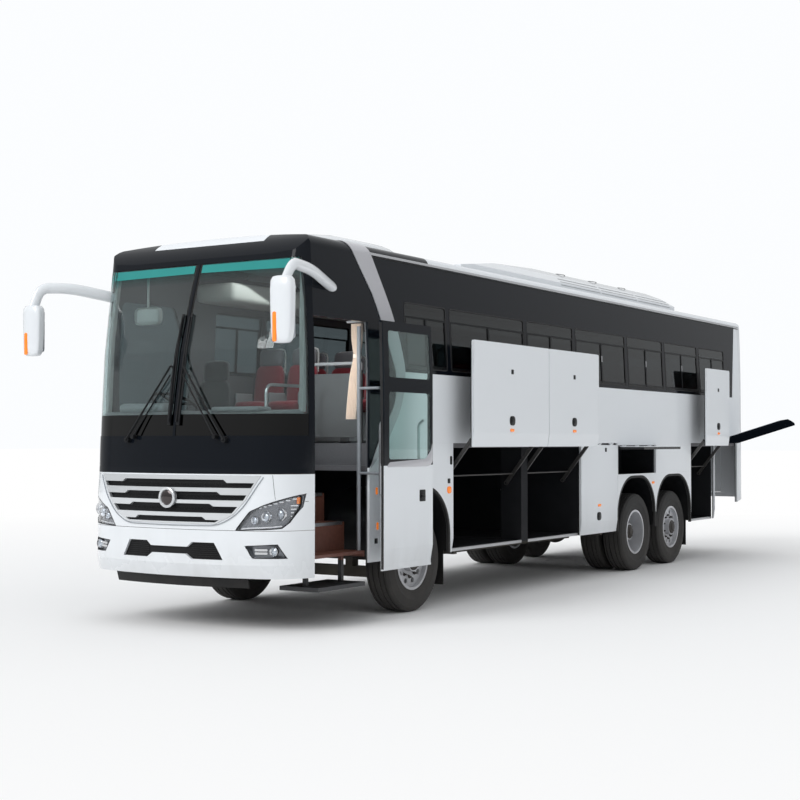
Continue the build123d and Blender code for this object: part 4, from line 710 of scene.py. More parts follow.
def round_bar(radius, sides=10):
    return around(sides, radius)


def bar_section(across, up):
    """A bar's section with cut corners."""
    cut = 0.3 * min(across, up)
    corner = [(across, up - cut), (across - cut, up)]
    return (corner + [(-a, b) for a, b in corner[::-1]] + [(-a, -b) for a, b in corner]
            + [(a, -b) for a, b in corner[::-1]])


def mirror_all(*meshes):
    """Adds the other side's copy of everything made so far."""
    for bm in meshes:
        copies = bmesh.ops.duplicate(bm, geom=bm.verts[:] + bm.edges[:] + bm.faces[:])["geom"]
        verts = [part for part in copies if isinstance(part, bmesh.types.BMVert)]
        bmesh.ops.scale(bm, vec=(-1.0, 1.0, 1.0), verts=verts)
        bmesh.ops.reverse_faces(bm, faces=[part for part in copies if isinstance(part, bmesh.types.BMFace)])


# Front: lamps, grille trim, badge
HEADLAMP = rounded([(0.726, 0.934), (0.866, 1.110), (0.996, 1.169), (1.240, 1.266), (1.236, 1.150),
                    (1.182, 1.009), (1.135, 0.956), (1.059, 0.948)], 0.03, steps=3)
FOG = rounded([(0.820, 0.799), (1.105, 0.816), (1.170, 0.685), (0.898, 0.686)], 0.03, steps=3)
LAMP_STRIP = [(0.765, 0.944), (0.85, 0.951), (1.05, 0.962), (1.12, 0.972), (1.12, 0.984), (1.05, 0.975),
              (0.85, 0.965), (0.775, 0.956)]
LAMP_DEPTH = 0.055
# Round lamps: across, height, radius
HEADLAMP_BOWLS = [(0.900, 1.030, 0.040), (1.000, 1.062, 0.052), (1.105, 1.085, 0.062)]
FOG_BOWL = (1.065, 0.748, 0.045)
# A reflector's profile, along in metres and out as a share of its radius; a lens's has shares only
BOWL = [(0.000, 1.0), (0.022, 1.0), (0.026, 0.92), (0.020, 0.84), (0.006, 0.55), (0.004, 0.0)]
LENS = [(0.0, 1.0), (0.30, 0.82), (0.46, 0.45), (0.5, 0.0)]
GRILLE_EDGE = [(0.970, 1.436), (0.833, 1.210), (0.709, 1.078), (0.531, 0.990)]
BADGE_Z = 1.227
BADGE_RING = [(0.0, 0.098), (0.008, 0.096), (0.012, 0.088), (0.010, 0.074), (0.002, 0.070), (0.002, 0.0)]
BADGE_DISH = [(0.003, 0.070), (0.009, 0.060), (0.013, 0.040), (0.015, 0.0)]
SEAMS = (((1.06, 1.44), (1.09, 1.20)), ((1.245, 1.20), (1.262, 1.20)))
# The mesh openings: middle height and half width
MESH_ROWS = ((1.34, 0.9), (1.235, 0.78), (1.12, 0.66))


def scaled(profile, radius):
    """A profile whose radii are given as shares of its own."""
    return [(along, radius * share) for along, share in profile]


def add_bowl(bm, eyes, x, z, radius, lens, out, lens_out):
    """A lamp's reflector ring and its lens, facing forwards in the nose."""
    y = front_y(x, z)
    add_turned(bm, scaled(BOWL, radius), (x, y - out, z), FORWARD, 28)
    lens = radius * lens
    add_turned(eyes, [(0.004 + lens * along, lens * share) for along, share in LENS], (x, y - lens_out, z),
               FORWARD, 24)


def in_tub(up=0.0):
    """Puts a flat shape over the bottom of a lamp's tub."""
    return on_nose(up - LAMP_DEPTH)


def make_front_lamps():
    """Headlamps and fog lamps: tubs, reflectors, lenses, strips and glass."""
    tub, bright, glass, eyes, amber, rims = meshes = new_meshes(6)
    for outline in (HEADLAMP, FOG):
        add_plate(tub, outline, 0.004, in_tub(), grid=0.05)
        add_plate(tub, outline, LAMP_DEPTH - 0.006, in_tub(0.002), grid=0.06, rim=0.006)
        add_plate(rims, outline, 0.005, on_nose(-0.003), grid=0.06, rim=0.007)
    add_plate(glass, HEADLAMP, 0.003, on_nose(-0.006), grid=0.05)
    for x, z, radius in HEADLAMP_BOWLS:
        add_bowl(bright, eyes, x, z, radius, 0.62, 0.004 - LAMP_DEPTH, 0.012 - LAMP_DEPTH)
    add_bowl(bright, eyes, *FOG_BOWL, 0.7, -0.040, -0.036)
    for x, z in zip(between(0.905, 1.195, 7), between(1.128, 1.223, 7)):
        add_tile(bright, (x - 0.013, z - 0.007), (x + 0.013, z + 0.007), 0.003, 0.012, in_tub(0.012),
                 rounding=0.003)
    for i in range(5):
        z = 1.03 + i * 0.032
        add_tile(bright, (1.172, z), (1.205 + i * 0.006, z + 0.010), 0.003, 0.018, in_tub(0.006))
    add_plate(bright, LAMP_STRIP, 0.016, in_tub(0.010), grid=0.06)
    add_tile(amber, (1.205, 1.178), (1.228, 1.238), 0.006, 0.014, in_tub(0.012))
    for low in (0.722, 0.752):
        add_tile(bright, (0.905, low), (1.015, low + 0.020), 0.006, 0.014, on_nose(-0.040), grid=0.05)
    mirror_all(*meshes)
    make_piece("lamp_tubs", tub, LAMP_GREY, replaces=("lamps",))
    make_piece("lamp_reflectors", bright, CHROME)
    make_piece("headlamp_glass", glass, CLEAR_GLASS)
    make_piece("lamp_eyes", eyes, EYE_GLASS)
    make_piece("front_indicators", amber, AMBER)
    make_piece("lamp_rims", rims, BLACK_PLASTIC)


def make_front_trim():
    """The grille's edge line, the round badge, the seams, the mesh in the nose and the tow ring."""
    edge, ring, dish, seams, ribs, hook = new_meshes(6)
    half = [(x + 0.018, z - 0.014) for x, z in GRILLE_EDGE]
    path = half + [(0.0, 0.972)] + [(-x, z) for x, z in half[::-1]]
    path = rounded([(x, 0.0, z) for x, z in path], 0.09, steps=5, closed=False)
    fine = [near.lerp(far, t) for near, far in zip(path, path[1:])
            for t in between(0, 1, max(1, int((far - near).length / 0.05)))[:-1]] + path[-1:]
    fine = [(x, front_y(x, z) - 0.002, z) for x, _, z in fine]
    add_tube(edge, fine, bar_section(0.004, 0.007), up=FORWARD)
    make_piece("grille_edge", edge, GREY_STEEL, "bright_trim")
    middle = (0.0, min(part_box("grille")[0].y, front_y(0.0, BADGE_Z)) - 0.001, BADGE_Z)
    add_turned(ring, BADGE_RING, middle, FORWARD, 40)
    make_piece("badge_ring", ring, BRIGHT_WHITE)
    add_turned(dish, BADGE_DISH, middle, FORWARD, 36)
    make_piece("badge_dish", dish, DARK_CHROME)
    for side in (1, -1):
        for start, end in SEAMS:
            path = zip(between(side * start[0], side * end[0], 6), between(start[1], end[1], 6))
            add_tube(seams, [(x, front_y(x, z) + 0.0005, z) for x, z in path], bar_section(0.0018, 0.0014),
                     up=FORWARD)
    make_piece("front_seams", seams, BLACK_PLASTIC)
    strips = []
    for i in range(7):
        inner, outer, z = 0.255 + abs(i - 3) * 0.004, 0.575 - i * 0.0115, 0.684 + i * 0.019
        strips += [(side * inner, side * outer, z, 0.007, 0.012, -0.004, 0.06) for side in (1, -1)]
    for middle, half in MESH_ROWS:
        strips += [(-half, half, middle - 0.008 + i * 0.009, 0.003, 0.006, 0.001, 0.12) for i in range(4)]
    for start, end, z, height, depth, out, grid in strips:
        outline = [(start, z), (end, z), (end, z + height), (start, z + height)]
        add_plate(ribs, outline, depth, on_nose(out), grid=grid)
    make_piece("mesh_ribs", ribs, BLACK_PLASTIC)
    add_tube(hook, [(-0.34 + a, -2.28, 0.455 + b) for a, b in around(12, 0.03, 0.035)], round_bar(0.008, 8),
             up=REARWARD, closed=True)
    make_piece("tow_ring", hook, GREY_STEEL)


# Mirrors: a broad arm that runs into a rounded head, its glass facing the rear
# Each one: the arm's path, the head's middle and its half height
MIRRORS = {
    "mirror_left": ([(1.19, -1.44, 3.195), (1.44, -2.15, 3.295), (1.575, -2.62, 3.295),
                     (1.60, -2.775, 3.10)], (1.600, -2.795, 2.875), 0.290),
    "mirror_right": ([(-1.18, -1.88, 3.195), (-1.40, -2.29, 3.270), (-1.570, -2.54, 3.260),
                      (-1.60, -2.60, 3.06)], (-1.600, -2.600, 2.835), 0.250),
}
HEAD_HALF = (0.118, 0.060)


def make_mirrors():
    """Each mirror's arm and head in one shell, with its glass and indicator."""
    for name, (path, (x, y, z), half) in MIRRORS.items():
        shell, glass, strip = new_meshes(3)
        add_tube(shell, rounded(path, 0.30, steps=7, closed=False), around(16, 0.040, 0.056),
                 scales=lambda t: 1.0 - 0.10 * t)

        def head(raw, soft):
            slim = 1.0 - 0.14 * (1.0 - soft[2]) / 2
            front = 1.0 - 0.35 * max(0.0, -soft[1]) * abs(soft[0]) ** 2
            return soft[0] * HEAD_HALF[0] * slim, soft[1] * HEAD_HALF[1] * slim * front, soft[2] * half

        add_round_cube(shell, 5, 6, head, (x, y, z))
        replaced = ("mirrors",) if name == "mirror_left" else ()
        make_piece(name, shell, WHITE_PAINT, replaces=replaced, sharp=60.0)
        add_tile(glass, (x - 0.092, z - half + 0.04), (x + 0.092, z + half - 0.05), 0.03, 0.003,
                 lambda u, v, w: Vector((u, y + HEAD_HALF[1] - 0.001 + w, v)))
        make_piece(name + "_glass", glass, MIRROR)
        add_tile(strip, (x - 0.066, z - half + 0.012), (x - 0.026, z - 0.02), 0.019, 0.010,
                 lambda u, v, w: Vector((u, y - HEAD_HALF[1] * 0.93 + 0.008 - w, v)), rounding=0.004)
        make_piece(name + "_indicator", strip, AMBER)


# Side: arch lips, gutter rail, window frames, fittings and sills
ARCHES = ((-0.03, 0.620), (DRIVE_Y - 0.077, 0.640), (TAG_Y - 0.10, 0.655))
ARCH_TOP = 1.275
ARCH_CORNER = 0.50
SKIRT = 0.57


def make_arch_lips():
    """Rubber lips round the wheel arches."""
    bm = bmesh.new()
    for middle, half in ARCHES:
        quarter = [math.radians(90.0 * t) for t in between(0, 1, 12)]
        path = [(middle - half, SKIRT)]
        for side, turns in ((-1, quarter), (1, [math.pi / 2 - turn for turn in quarter])):
            path += [(middle + side * (half - ARCH_CORNER + ARCH_CORNER * math.cos(turn)),
                      ARCH_TOP - ARCH_CORNER + ARCH_CORNER * math.sin(turn)) for turn in turns]
        path.append((middle + half, SKIRT))
        add_tube(bm, [(HALF - 0.012, y, z) for y, z in path], bar_section(0.017, 0.016), up=LEFT)
    mirror_all(bm)
    make_piece("arch_lips", bm, RUBBER)


def make_gutter():
    """The bright rail over the side windows and the dark seal under it."""
    rail, seal = new_meshes(2)
    for bm, x, z, section in ((rail, GUTTER_X, GUTTER + 0.012, bar_section(0.007, 0.013)),
                              (seal, GUTTER_X - 0.001, GUTTER - 0.014, bar_section(0.006, 0.007))):
        add_tube(bm, [(x, y, z) for y in between(-0.88, REAR - 0.16, 20)], section)
    mirror_all(rail, seal)
    make_piece("gutter_rails", rail, CHROME)
    make_piece("gutter_seals", seal, BLACK_PLASTIC)


WINDOW_EDGES = [-0.31, 0.60, 2.40, DRIVE_Y - 1.99, DRIVE_Y - 0.37, DRIVE_Y + 0.96, REAR - 2.04, REAR - 0.86]
WINDOW_LOW, WINDOW_HIGH = 2.49, 3.17
POST = 0.035


def make_window_frames():
    """Rubber round each pane, and the sliding sashes with their latches."""
    seals, sashes, latches = new_meshes(3)
    for side in (1, -1):
        for start, end in zip(WINDOW_EDGES, WINDOW_EDGES[1:]):
            middle = (start + end) / 2
            add_tile(seals, (start + POST, WINDOW_LOW), (end - POST, WINDOW_HIGH), 0.045, 0.010,
                     on_side(side, -0.008), grid=0.5, rim=0.014)
            for a, b, out in ((start + 0.05, middle + 0.02, -0.006), (middle - 0.02, end - 0.05, -0.003)):
                add_tile(sashes, (a, WINDOW_LOW + 0.02), (b, WINDOW_HIGH - 0.14), 0.02, 0.006,
                         on_side(side, out), grid=0.5, rim=0.022)
            for y in (middle - 0.006, middle + 0.012):
                add_tile(latches, (y - 0.010, 2.78), (y + 0.002, 2.86), 0.004, 0.004, on_side(side, 0.002))
    make_piece("window_seals", seals, RUBBER)
    make_piece("window_sashes", sashes, BLACK_SATIN)
    make_piece("window_latches", latches, ALUMINIUM)


# The lock, the pull and the marker of each hatch, as (Y, Z) on the raised left one
HATCH_FITTINGS = {
    "front": ((1.555, 2.521), (1.551, 1.978), (1.543, 1.872)),
    "middle": ((3.156, 2.523), (3.152, 1.982), (3.151, 1.873)),
    "rear": ((8.166, 2.521), (8.166, 1.978), (8.166, 1.872)),
}
RAISED_X, HATCH_LIFT = 1.525, 1.12


def hatch_fittings(hand, *hatches):
    """Fittings of one side's hatches: those on the left stand raised, those on the right are closed."""
    x, side, drop = (RAISED_X, 1, 0.0) if hand == "left" else (HALF, -1, HATCH_LIFT)
    return [(f"hatch_{hand}_{name}_panel", kind, (y, z - drop), x, side) for name in hatches
            for kind, (y, z) in zip(("lock", "pull", "marker"), HATCH_FITTINGS[name])]


# Small fittings on the outside: body, kind, middle (Y, Z), plane X and side
FITTINGS = [
    *[("coach", kind, middle, HALF, 1) for kind, middle in (
        ("handle", (0.623, 1.548)), ("lock", (0.580, 1.330)), ("round_lamp", (0.580, 1.235)),
        ("marker", (6.21, 1.182)), ("side_light", (-0.825, 1.263)), ("side_light", (-0.810, 0.920)),
        ("lock", (-0.834, 0.775)))],
    *hatch_fittings("left", "front", "middle", "rear"),
    *[("service_hatch", kind, middle, HALF, 1) for kind, middle in (
        ("lock", (4.623, 1.643)), ("pull", (4.403, 0.792)), ("marker", (4.416, 0.931)))],
    *hatch_fittings("right", "front", "middle"),
    *[("coach", kind, middle, HALF, -1) for kind, middle in (
        ("marker", (-0.90, 1.182)), ("marker", (4.90, 0.92)), ("marker", (7.90, 0.92)),
        ("filler", (7.95, 1.45)))],
]
# Kind: half length, half height, how far it stands out
FITTING_KINDS = {
    "lock": (0.026, 0.026, 0.006), "pull": (0.062, 0.052, 0.008), "marker": (0.042, 0.017, 0.012),
    "side_light": (0.016, 0.036, 0.010), "handle": (0.019, 0.046, 0.010), "round_lamp": (0.038, 0.038, 0.016),
    "filler": (0.14, 0.12, 0.004),
}
LIT_KINDS = ("marker", "side_light", "round_lamp")
SKIRT_LEAN = 0.147


def add_fitting(bm, kind, middle, plane, side):
    """One fitting, tucked in where the wall leans in towards the skirt."""
    along, up, out = FITTING_KINDS[kind]
    y, z = middle
    place = on_plane(plane - max(0.0, SKIRT + 0.15 - z) * SKIRT_LEAN - 0.001, side)
    radius = {"lock": 0.008, "filler": 0.02}.get(kind, min(along, up) * 0.95)
    add_tile(bm, (y - along, z - up), (y + along, z + up), radius, out, place, rounding=out * 0.45)
    if kind == "pull":
        add_tile(bm, (y - along * 0.6, z - up * 0.45), (y + along * 0.6, z + up * 0.3), up * 0.3, out + 0.003,
                 place, rounding=0.002)


def make_fittings():
    """Locks, pulls and side lights, joined by body and by whether they are lit."""
    groups = {}
    for body, *row in FITTINGS:
        groups.setdefault((body, row[0] in LIT_KINDS), []).append(row)
    for (body, lit), rows in groups.items():
        bm = bmesh.new()
        for row in rows:
            add_fitting(bm, *row)
        make_piece(body + ("_markers" if lit else "_handles"), bm, AMBER if lit else BLACK_SATIN, body=body)


def make_sills():
    """Bright sills under the bays and the steps' nosings."""
    bm = bmesh.new()
    for start, end in ((0.70, 2.328), (2.49, 3.86), (7.70, 8.64)):
        add_block(bm, (1.196, start, 0.5995), (1.2295, end, 0.605), 0.0015)
        add_block(bm, (1.2292, start, 0.572), (1.2325, end, 0.604), 0.0015)
    for x, z in ((0.985, 0.9633), (0.745, 1.2367), (0.505, 1.510)):
        for left, low in ((x - 0.03, z - 0.001), (x + 0.0005, z - 0.028)):
            add_block(bm, (left, -1.80, low), (x + 0.004, -1.00, z + 0.003), 0.0012)
    make_piece("bright_sills", bm, ALUMINIUM)


# Wheels: half a tyre's section as (across, radius): tread with grooves, shoulder and wall
TYRE_HALF = [
    (0.000, 0.522), (0.028, 0.522), (0.030, 0.509), (0.040, 0.509), (0.042, 0.5215), (0.082, 0.520),
    (0.084, 0.508), (0.095, 0.508), (0.097, 0.519), (0.116, 0.515), (0.124, 0.507), (0.131, 0.492),
    (0.136, 0.488), (0.141, 0.455), (0.1468, 0.420), (0.1460, 0.395), (0.1440, 0.392), (0.138, 0.350),
    (0.130, 0.325), (0.1315, 0.318), (0.122, 0.300), (0.112, 0.287), (0.100, 0.286)]
TYRE = [(-a, r) for a, r in TYRE_HALF[:0:-1]] + TYRE_HALF
HUB = [(0.0, 0.098), (0.010, 0.094), (0.016, 0.080), (0.018, 0.060), (0.030, 0.056), (0.036, 0.046),
       (0.038, 0.0)]
# A nut's washer, nut and stud: near end, far end, radius, sides
NUT = ((-0.001, 0.004, 0.024, 16), (0.004, 0.026, 0.0165, 6), (0.026, 0.046, 0.010, 10))
NUT_CIRCLE = 0.1675
# Name, axle, the tyres' tracks, where the nuts and the hub stand, and the node whose tyres are replaced
WHEELS = [("front", 0.0, (1.06,), 1.120, 1.195, "tyre_front_"),
          ("tag", TAG_Y, (1.06,), 1.120, 1.195, "tyre_tag_"),
          ("drive", DRIVE_Y, (1.09, 0.755), 0.9225, 1.130, "tyres_drive_")]


def make_wheels():
    """Treaded tyres, nuts and hubs on each wheel's body."""
    for name, y, tracks, disc, face, node in WHEELS:
        for side, hand in ((1, "left"), (-1, "right")):
            body = f"{name}_wheel_{hand}"
            tyre, nuts, hub = new_meshes(3)
            for track in tracks:
                add_turned(tyre, TYRE + TYRE[:1], (side * track, y, TYRE_RADIUS), steps=72)
            make_piece(body + "_tyres", tyre, TYRE_RUBBER, body=body, replaces=(node + hand,), sharp=28.0)
            for a, b in around(10, NUT_CIRCLE, turn=0.5):
                for near, far, radius, sides in NUT:
                    add_rod(nuts, (side * (disc + near), y + a, TYRE_RADIUS + b),
                            (side * (disc + far), y + a, TYRE_RADIUS + b), radius, sides)
            make_piece(body + "_nuts", nuts, DARK_STEEL, body=body)
            add_turned(hub, HUB, (side * (face - 0.002), y, TYRE_RADIUS), (side, 0.0, 0.0))
            for a, b in around(8, 0.086):
                add_rod(hub, (side * (face + 0.008), y + a, TYRE_RADIUS + b),
                        (side * (face + 0.018), y + a, TYRE_RADIUS + b), 0.007, 6)
            make_piece(body + "_hub", hub, DARK_STEEL, body=body)


# Door: zones are in its paint; this adds its seals, handle, rails and the strip under the glass
DOOR_X = 1.555
DOOR_SEAMS = (-1.120, -0.220)
DOOR_STRIP = rounded([(-1.075, 1.500), (-1.03, 1.548), (-0.36, 1.575), (-0.255, 1.66), (-0.228, 1.74),
                      (-0.228, 1.545), (-0.26, 1.515), (-0.33, 1.50)], 0.03, steps=3)


def make_door_trim():
    """The passenger door's seals, handle, strip and grab rails."""
    seals, handle, strip, inner = new_meshes(4)
    for y in DOOR_SEAMS:
        path = [(DOOR_X - 0.02, y, 0.53), (DOOR_X - 0.02, y, 1.6), (DOOR_X - 0.02 - 0.45 * LEAN, y, 2.89)]
        add_tube(seals, path, bar_section(0.014, 0.0025), up=REARWARD)
    make_piece("door_seals", seals, RUBBER, body="door_panel")
    place = on_plane(DOOR_X - 0.001)
    add_tile(handle, (-0.475, 1.155), (-0.365, 1.270), 0.012, 0.005, place, rounding=0.002)
    add_tile(handle, (-0.460, 1.190), (-0.380, 1.220), 0.010, 0.016, place, rounding=0.004)
    make_piece("door_handle", handle, BLACK_SATIN, body="door_panel")
    add_plate(strip, DOOR_STRIP, 0.003, place, rounding=0.001)
    make_piece("door_strip", strip, SILVER_PAINT, body="door_panel")
    for y in (-1.02, -0.32):
        path = [(1.50, y, 1.20), (1.445, y, 1.24), (1.445, y, 1.92), (1.50, y, 1.96)]
        add_tube(inner, rounded(path, 0.05, closed=False), round_bar(0.014), up=REARWARD)
    make_piece("door_grab_rails", inner, ALUMINIUM, body="door_panel")


def make_roof_details():
    """The unit's louvres and fan guards, the pod over the driver and the hatches."""
    louvres, fans, pod, hatches = new_meshes(4)
    for z in (3.765, 3.805, 3.845):
        for start, end in ((4.10, 5.30), (5.36, 6.56), (6.62, 7.80)):
            points = []
            for y in between(start, end, 8):
                place = hit(UNIT, (1.3, y, z), (-1.0, 0.0, 0.0))
                points.append(((place.x if place else 0.9) + 0.001, y, z))
            add_tube(louvres, points, bar_section(0.002, 0.0045))
    mirror_all(louvres)
    make_piece("unit_louvres", louvres, GREY_PLASTIC)
    for y in (4.6, 5.6, 6.6):
        for x in (-0.42, 0.42):
            z = hit(UNIT, (x, y, 4.5), (0.0, 0.0, -1.0)).z - 0.002
            for radius in (0.06, 0.11, 0.16, 0.21, 0.26):
                add_tube(fans, [(x + a, y + b, z) for a, b in around(24, radius)], bar_section(0.004, 0.003),
                         closed=True)
    make_piece("fan_guards", fans, BLACK_PLASTIC)

    def pod_form(raw, soft):
        x, y, z = soft
        slope = 0.28 + 0.72 * min(1.0, (1 + y) * 1.1)
        return (x * (0.78 - 0.08 * (1 - y) / 2), -0.55 + y * 1.22,
                ROOF - 0.07 + max(z, -0.2) * 0.23 * slope - 0.03 * x * x)

    add_round_cube(pod, 7, 5, pod_form)
    make_piece("roof_pod", pod, WHITE_PAINT, sharp=50.0)
    for y in (0.95, 8.9):
        add_block(hatches, (-0.32, y - 0.32, ROOF - 0.02), (0.32, y + 0.32, ROOF + 0.035), 0.02, 3)
    make_piece("roof_hatches", hatches, GREY_PLASTIC, "white_paint")


REAR_LAMP = [(-0.012, 1.0), (0.000, 1.0), (0.009, 0.85), (0.014, 0.5), (0.016, 0.0)]
REAR_LAMP_X = 1.080
# Colour, height and radius of each round lamp
REAR_LAMPS = (("red", 1.55, 0.052), ("amber", 1.41, 0.052), ("red", 1.27, 0.052), ("white", 1.14, 0.046),
              ("red", 1.03, 0.040))


def make_rear():
    """Lamp clusters, reflectors, the high lamp, the window's seal, the plate's frame and the engine catch."""
    housings, reds, ambers, whites, seal, plate, catch = new_meshes(7)
    for side in (1, -1):
        x = side * REAR_LAMP_X
        add_tile(housings, (x - 0.068, 0.965), (x + 0.068, 1.635), 0.04, 0.010, on_rear(-0.028),
                 rounding=0.003)
        add_tile(housings, (x - 0.070, 0.963), (x + 0.070, 1.637), 0.04, 0.030, on_rear(-0.028), rim=0.012)
        for color, z, radius in REAR_LAMPS:
            bm = {"red": reds, "amber": ambers, "white": whites}[color]
            add_turned(bm, scaled(REAR_LAMP, radius), (x, REAR - 0.012, z), REARWARD, 24)
        add_tile(reds, (side * 0.62 - 0.09, 0.885), (side * 0.62 + 0.09, 0.925), 0.01, 0.006, on_rear(),
                 rounding=0.002)
    add_tile(reds, (-0.16, 3.26), (0.16, 3.30), 0.012, 0.008, on_rear(-0.002), rounding=0.003)
    make_piece("rear_lamp_tubs", housings, LAMP_GREY)
    make_piece("rear_red_lamps", reds, RED_LENS)
    make_piece("rear_amber_lamps", ambers, AMBER)
    make_piece("rear_white_lamps", whites, CLEAR_LENS)
    add_tile(seal, (-0.93, 2.42), (0.93, 3.18), 0.06, 0.008, on_rear(-0.004), rim=0.034)
    make_piece("rear_window_seal", seal, RUBBER)
    add_tile(plate, (-0.30, 1.985), (0.30, 2.125), 0.02, 0.006, on_rear(-0.003), rim=0.02)
    make_piece("plate_frame", plate, BLACK_PLASTIC)
    add_tile(catch, (-0.09, 0.985), (0.09, 1.035), 0.02, 0.010, on_rear(-0.001), rounding=0.003)
    make_piece("engine_door_handle", catch, BLACK_SATIN, body="engine_door")


def make_wiper_rubbers():
    """The wipers' broad rubbers and their second arms."""
    bm = bmesh.new()
    outline = [(0.040, 2.96), (0.064, 2.96), (0.080, 2.30), (0.074, 1.90), (0.036, 1.90), (0.030, 2.30)]
    add_plate(bm, outline, 0.016, on_nose(0.012), grid=0.07, rounding=0.003)
    y = front_y(0.500, 1.790) - 0.045
    add_rod(bm, (0.500, y, 1.790), (0.075, front_y(0.075, 2.375) - 0.050, 2.375), 0.008, 10)
    add_rod(bm, (0.500, y + 0.060, 1.790), (0.500, y - 0.012, 1.790), 0.020, 14)
    mirror_all(bm)
    make_piece("wiper_rubbers", bm, BLACK_PLASTIC)


def make_shade_band():
    """The teal film along the head of the windscreen."""
    bm = bmesh.new()
    outline = [(0.045, TEAL_BOTTOM), (1.10, TEAL_BOTTOM - 0.01), (1.10, SCREEN_HEAD - 0.012),
               (0.045, SCREEN_HEAD - 0.012)]
    add_plate(bm, outline, 0.0006, on_screen, grid=0.05)
    mirror_all(bm)
    make_piece("shade_band", bm, TEAL_FILM)


def make_cab():
    """Pillar trims, instruments, wheel column, inside mirror, parcel racks and the guard by the steps."""
    trims, dash, column, mirror, lockers, guard = new_meshes(6)
    for side in (1, -1):
        points = [(side * (wall_x(z) - 0.075), z) for z in (2.02, 2.35, 2.70, 3.05, 3.40)]
        add_tube(trims, [(x, front_y(x, z) + 0.085, z) for x, z in points], bar_section(0.024, 0.030),
                 up=REARWARD)
    make_piece("pillar_trims", trims, PALE_PLASTIC)
    add_block(dash, (-0.98, -2.06, 2.02), (-0.38, -1.84, 2.12), 0.045, 3)
    add_block(dash, (0.30, -2.18, 2.02), (0.86, -1.96, 2.07), 0.025, 3)
    make_piece("instrument_hood", dash, GREY_PLASTIC)
    add_rod(column, (-0.68, -1.86, 1.80), (-0.68, -1.585, 2.075), 0.05, 16, 0.035)
    add_rod(column, (-0.80, -1.66, 2.03), (-0.56, -1.66, 2.03), 0.009, 8)
    make_piece("steering_column", column, BLACK_PLASTIC)
    add_block(mirror, (-0.86, -1.95, 2.90), (-0.54, -1.905, 3.07), 0.05, 4)
    add_rod(mirror, (-0.70, -1.93, 3.05), (-0.70, -1.93, 3.42), 0.012, 10)
    make_piece("inside_mirror", mirror, PALE_PLASTIC)
    for near in (0.62, -1.14):
        add_block(lockers, (near, -0.70, 3.24), (near + 0.52, 9.40, 3.44), 0.05, 3)
    make_piece("parcel_racks", lockers, HEADLINING)
    path = rounded([(0.47, -0.80, 1.52), (0.47, -0.80, 2.30), (0.47, -1.55, 2.30), (0.47, -1.55, 1.52)], 0.10,
                   closed=False)
    add_tube(guard, path, round_bar(0.016), up=LEFT)
    add_tube(guard, [(0.47, -0.80, 1.92), (0.47, -1.55, 1.92)], round_bar(0.013), up=LEFT)
    make_piece("step_guard_rail", guard, ALUMINIUM)


# Seats: cushions, backs and headrests as padded forms, with their frames and rails
SEAT_PLACES = [(x, 0.83 * row, FLOOR_TOP) for x in (-0.985, -0.525, 0.985, 0.525) for row in range(11)]
DRIVER_PLACE = (-0.68, -1.35, FLOOR_TOP - 0.22)
SEAT_RAIL = [(-0.16, 0.49, 0.80), (-0.16, 0.50, 1.065), (0.16, 0.50, 1.065), (0.16, 0.49, 0.80)]


def puffed(bm, half, middle, lean=0.0, waist=0.06, crown=0.25):
    """A crowned cushion whose sides pull in between its corners, leaning back by an angle."""
    def form(raw, soft):
        x, y, z = raw
        pull = 1.0 - waist * (1 - x * x) * abs(y) - waist * (1 - z * z) * abs(x)
        swell = 1.0 + crown * (1 - x * x) * (1 - z * z)
        return soft[0] * half[0] * pull, soft[1] * half[1] * swell, soft[2] * half[2] * pull

    add_round_cube(bm, 3, 6, form, middle, lean)


def add_seat(cushions, backs, heads, frames, place, tall=1.0):
    """A seat whose front edge's foot is at a place on the floor."""
    x, y, z = place
    puffed(cushions, (0.205, 0.215, 0.065), (x, y + 0.175, z + 0.405), waist=0.05, crown=0.0)
    puffed(backs, (0.205, 0.050, 0.275), (x, y + 0.405, z + 0.62), lean=-0.13, crown=0.15)
    puffed(heads, (0.165, 0.045, 0.105 * tall), (x, y + 0.452, z + 0.965), lean=-0.10)
    add_block(frames, (x - 0.18, y + 0.05, z + 0.002), (x + 0.18, y + 0.32, z + 0.33), 0.02, 1)
    for left in (x - 0.215, x + 0.195):
        add_block(frames, (left, y + 0.06, z + 0.42), (left + 0.020, y + 0.36, z + 0.56), 0.008, 1)


def make_seats():
    """All seats, softened by subdivision, with their frames and rails."""
    cushions, backs, heads, driver, frames, rails = new_meshes(6)
    for x, y, z in SEAT_PLACES:
        add_seat(cushions, backs, heads, frames, (x, y, z))
        path = [(x + a, y + b, z + c) for a, b, c in SEAT_RAIL]
        add_tube(rails, rounded(path, 0.05, steps=2, closed=False), round_bar(0.011, 6), up=REARWARD)
    add_seat(driver, driver, driver, frames, DRIVER_PLACE, 1.15)
    for name, bm, finish, replaced in (
            ("seat_cushions", cushions, SEAT_CLOTH, ("seats",)), ("seat_backs", backs, SEAT_CLOTH, ()),
            ("headrests", heads, SEAT_GREY, ()), ("driver_seat", driver, DRIVER_CLOTH, ())):
        piece = make_piece(name, bm, finish, replaces=replaced, sharp=70.0)
        soft = piece.modifiers.new("soften", "SUBSURF")
        soft.levels = soft.render_levels = 1
    make_piece("seat_frames", frames, GREY_PLASTIC)
    make_piece("seat_rails", rails, PALE_PLASTIC)


# Door curtain: one gathered sheet, tied in at its middle
CURTAIN_LOW, CURTAIN_HIGH = Vector((1.030, -0.945, 1.965)), Vector((1.158, -0.849, 2.905))
PLEATS = 7
CURTAIN_WIDTH = 0.95
TIE_AT = 0.66


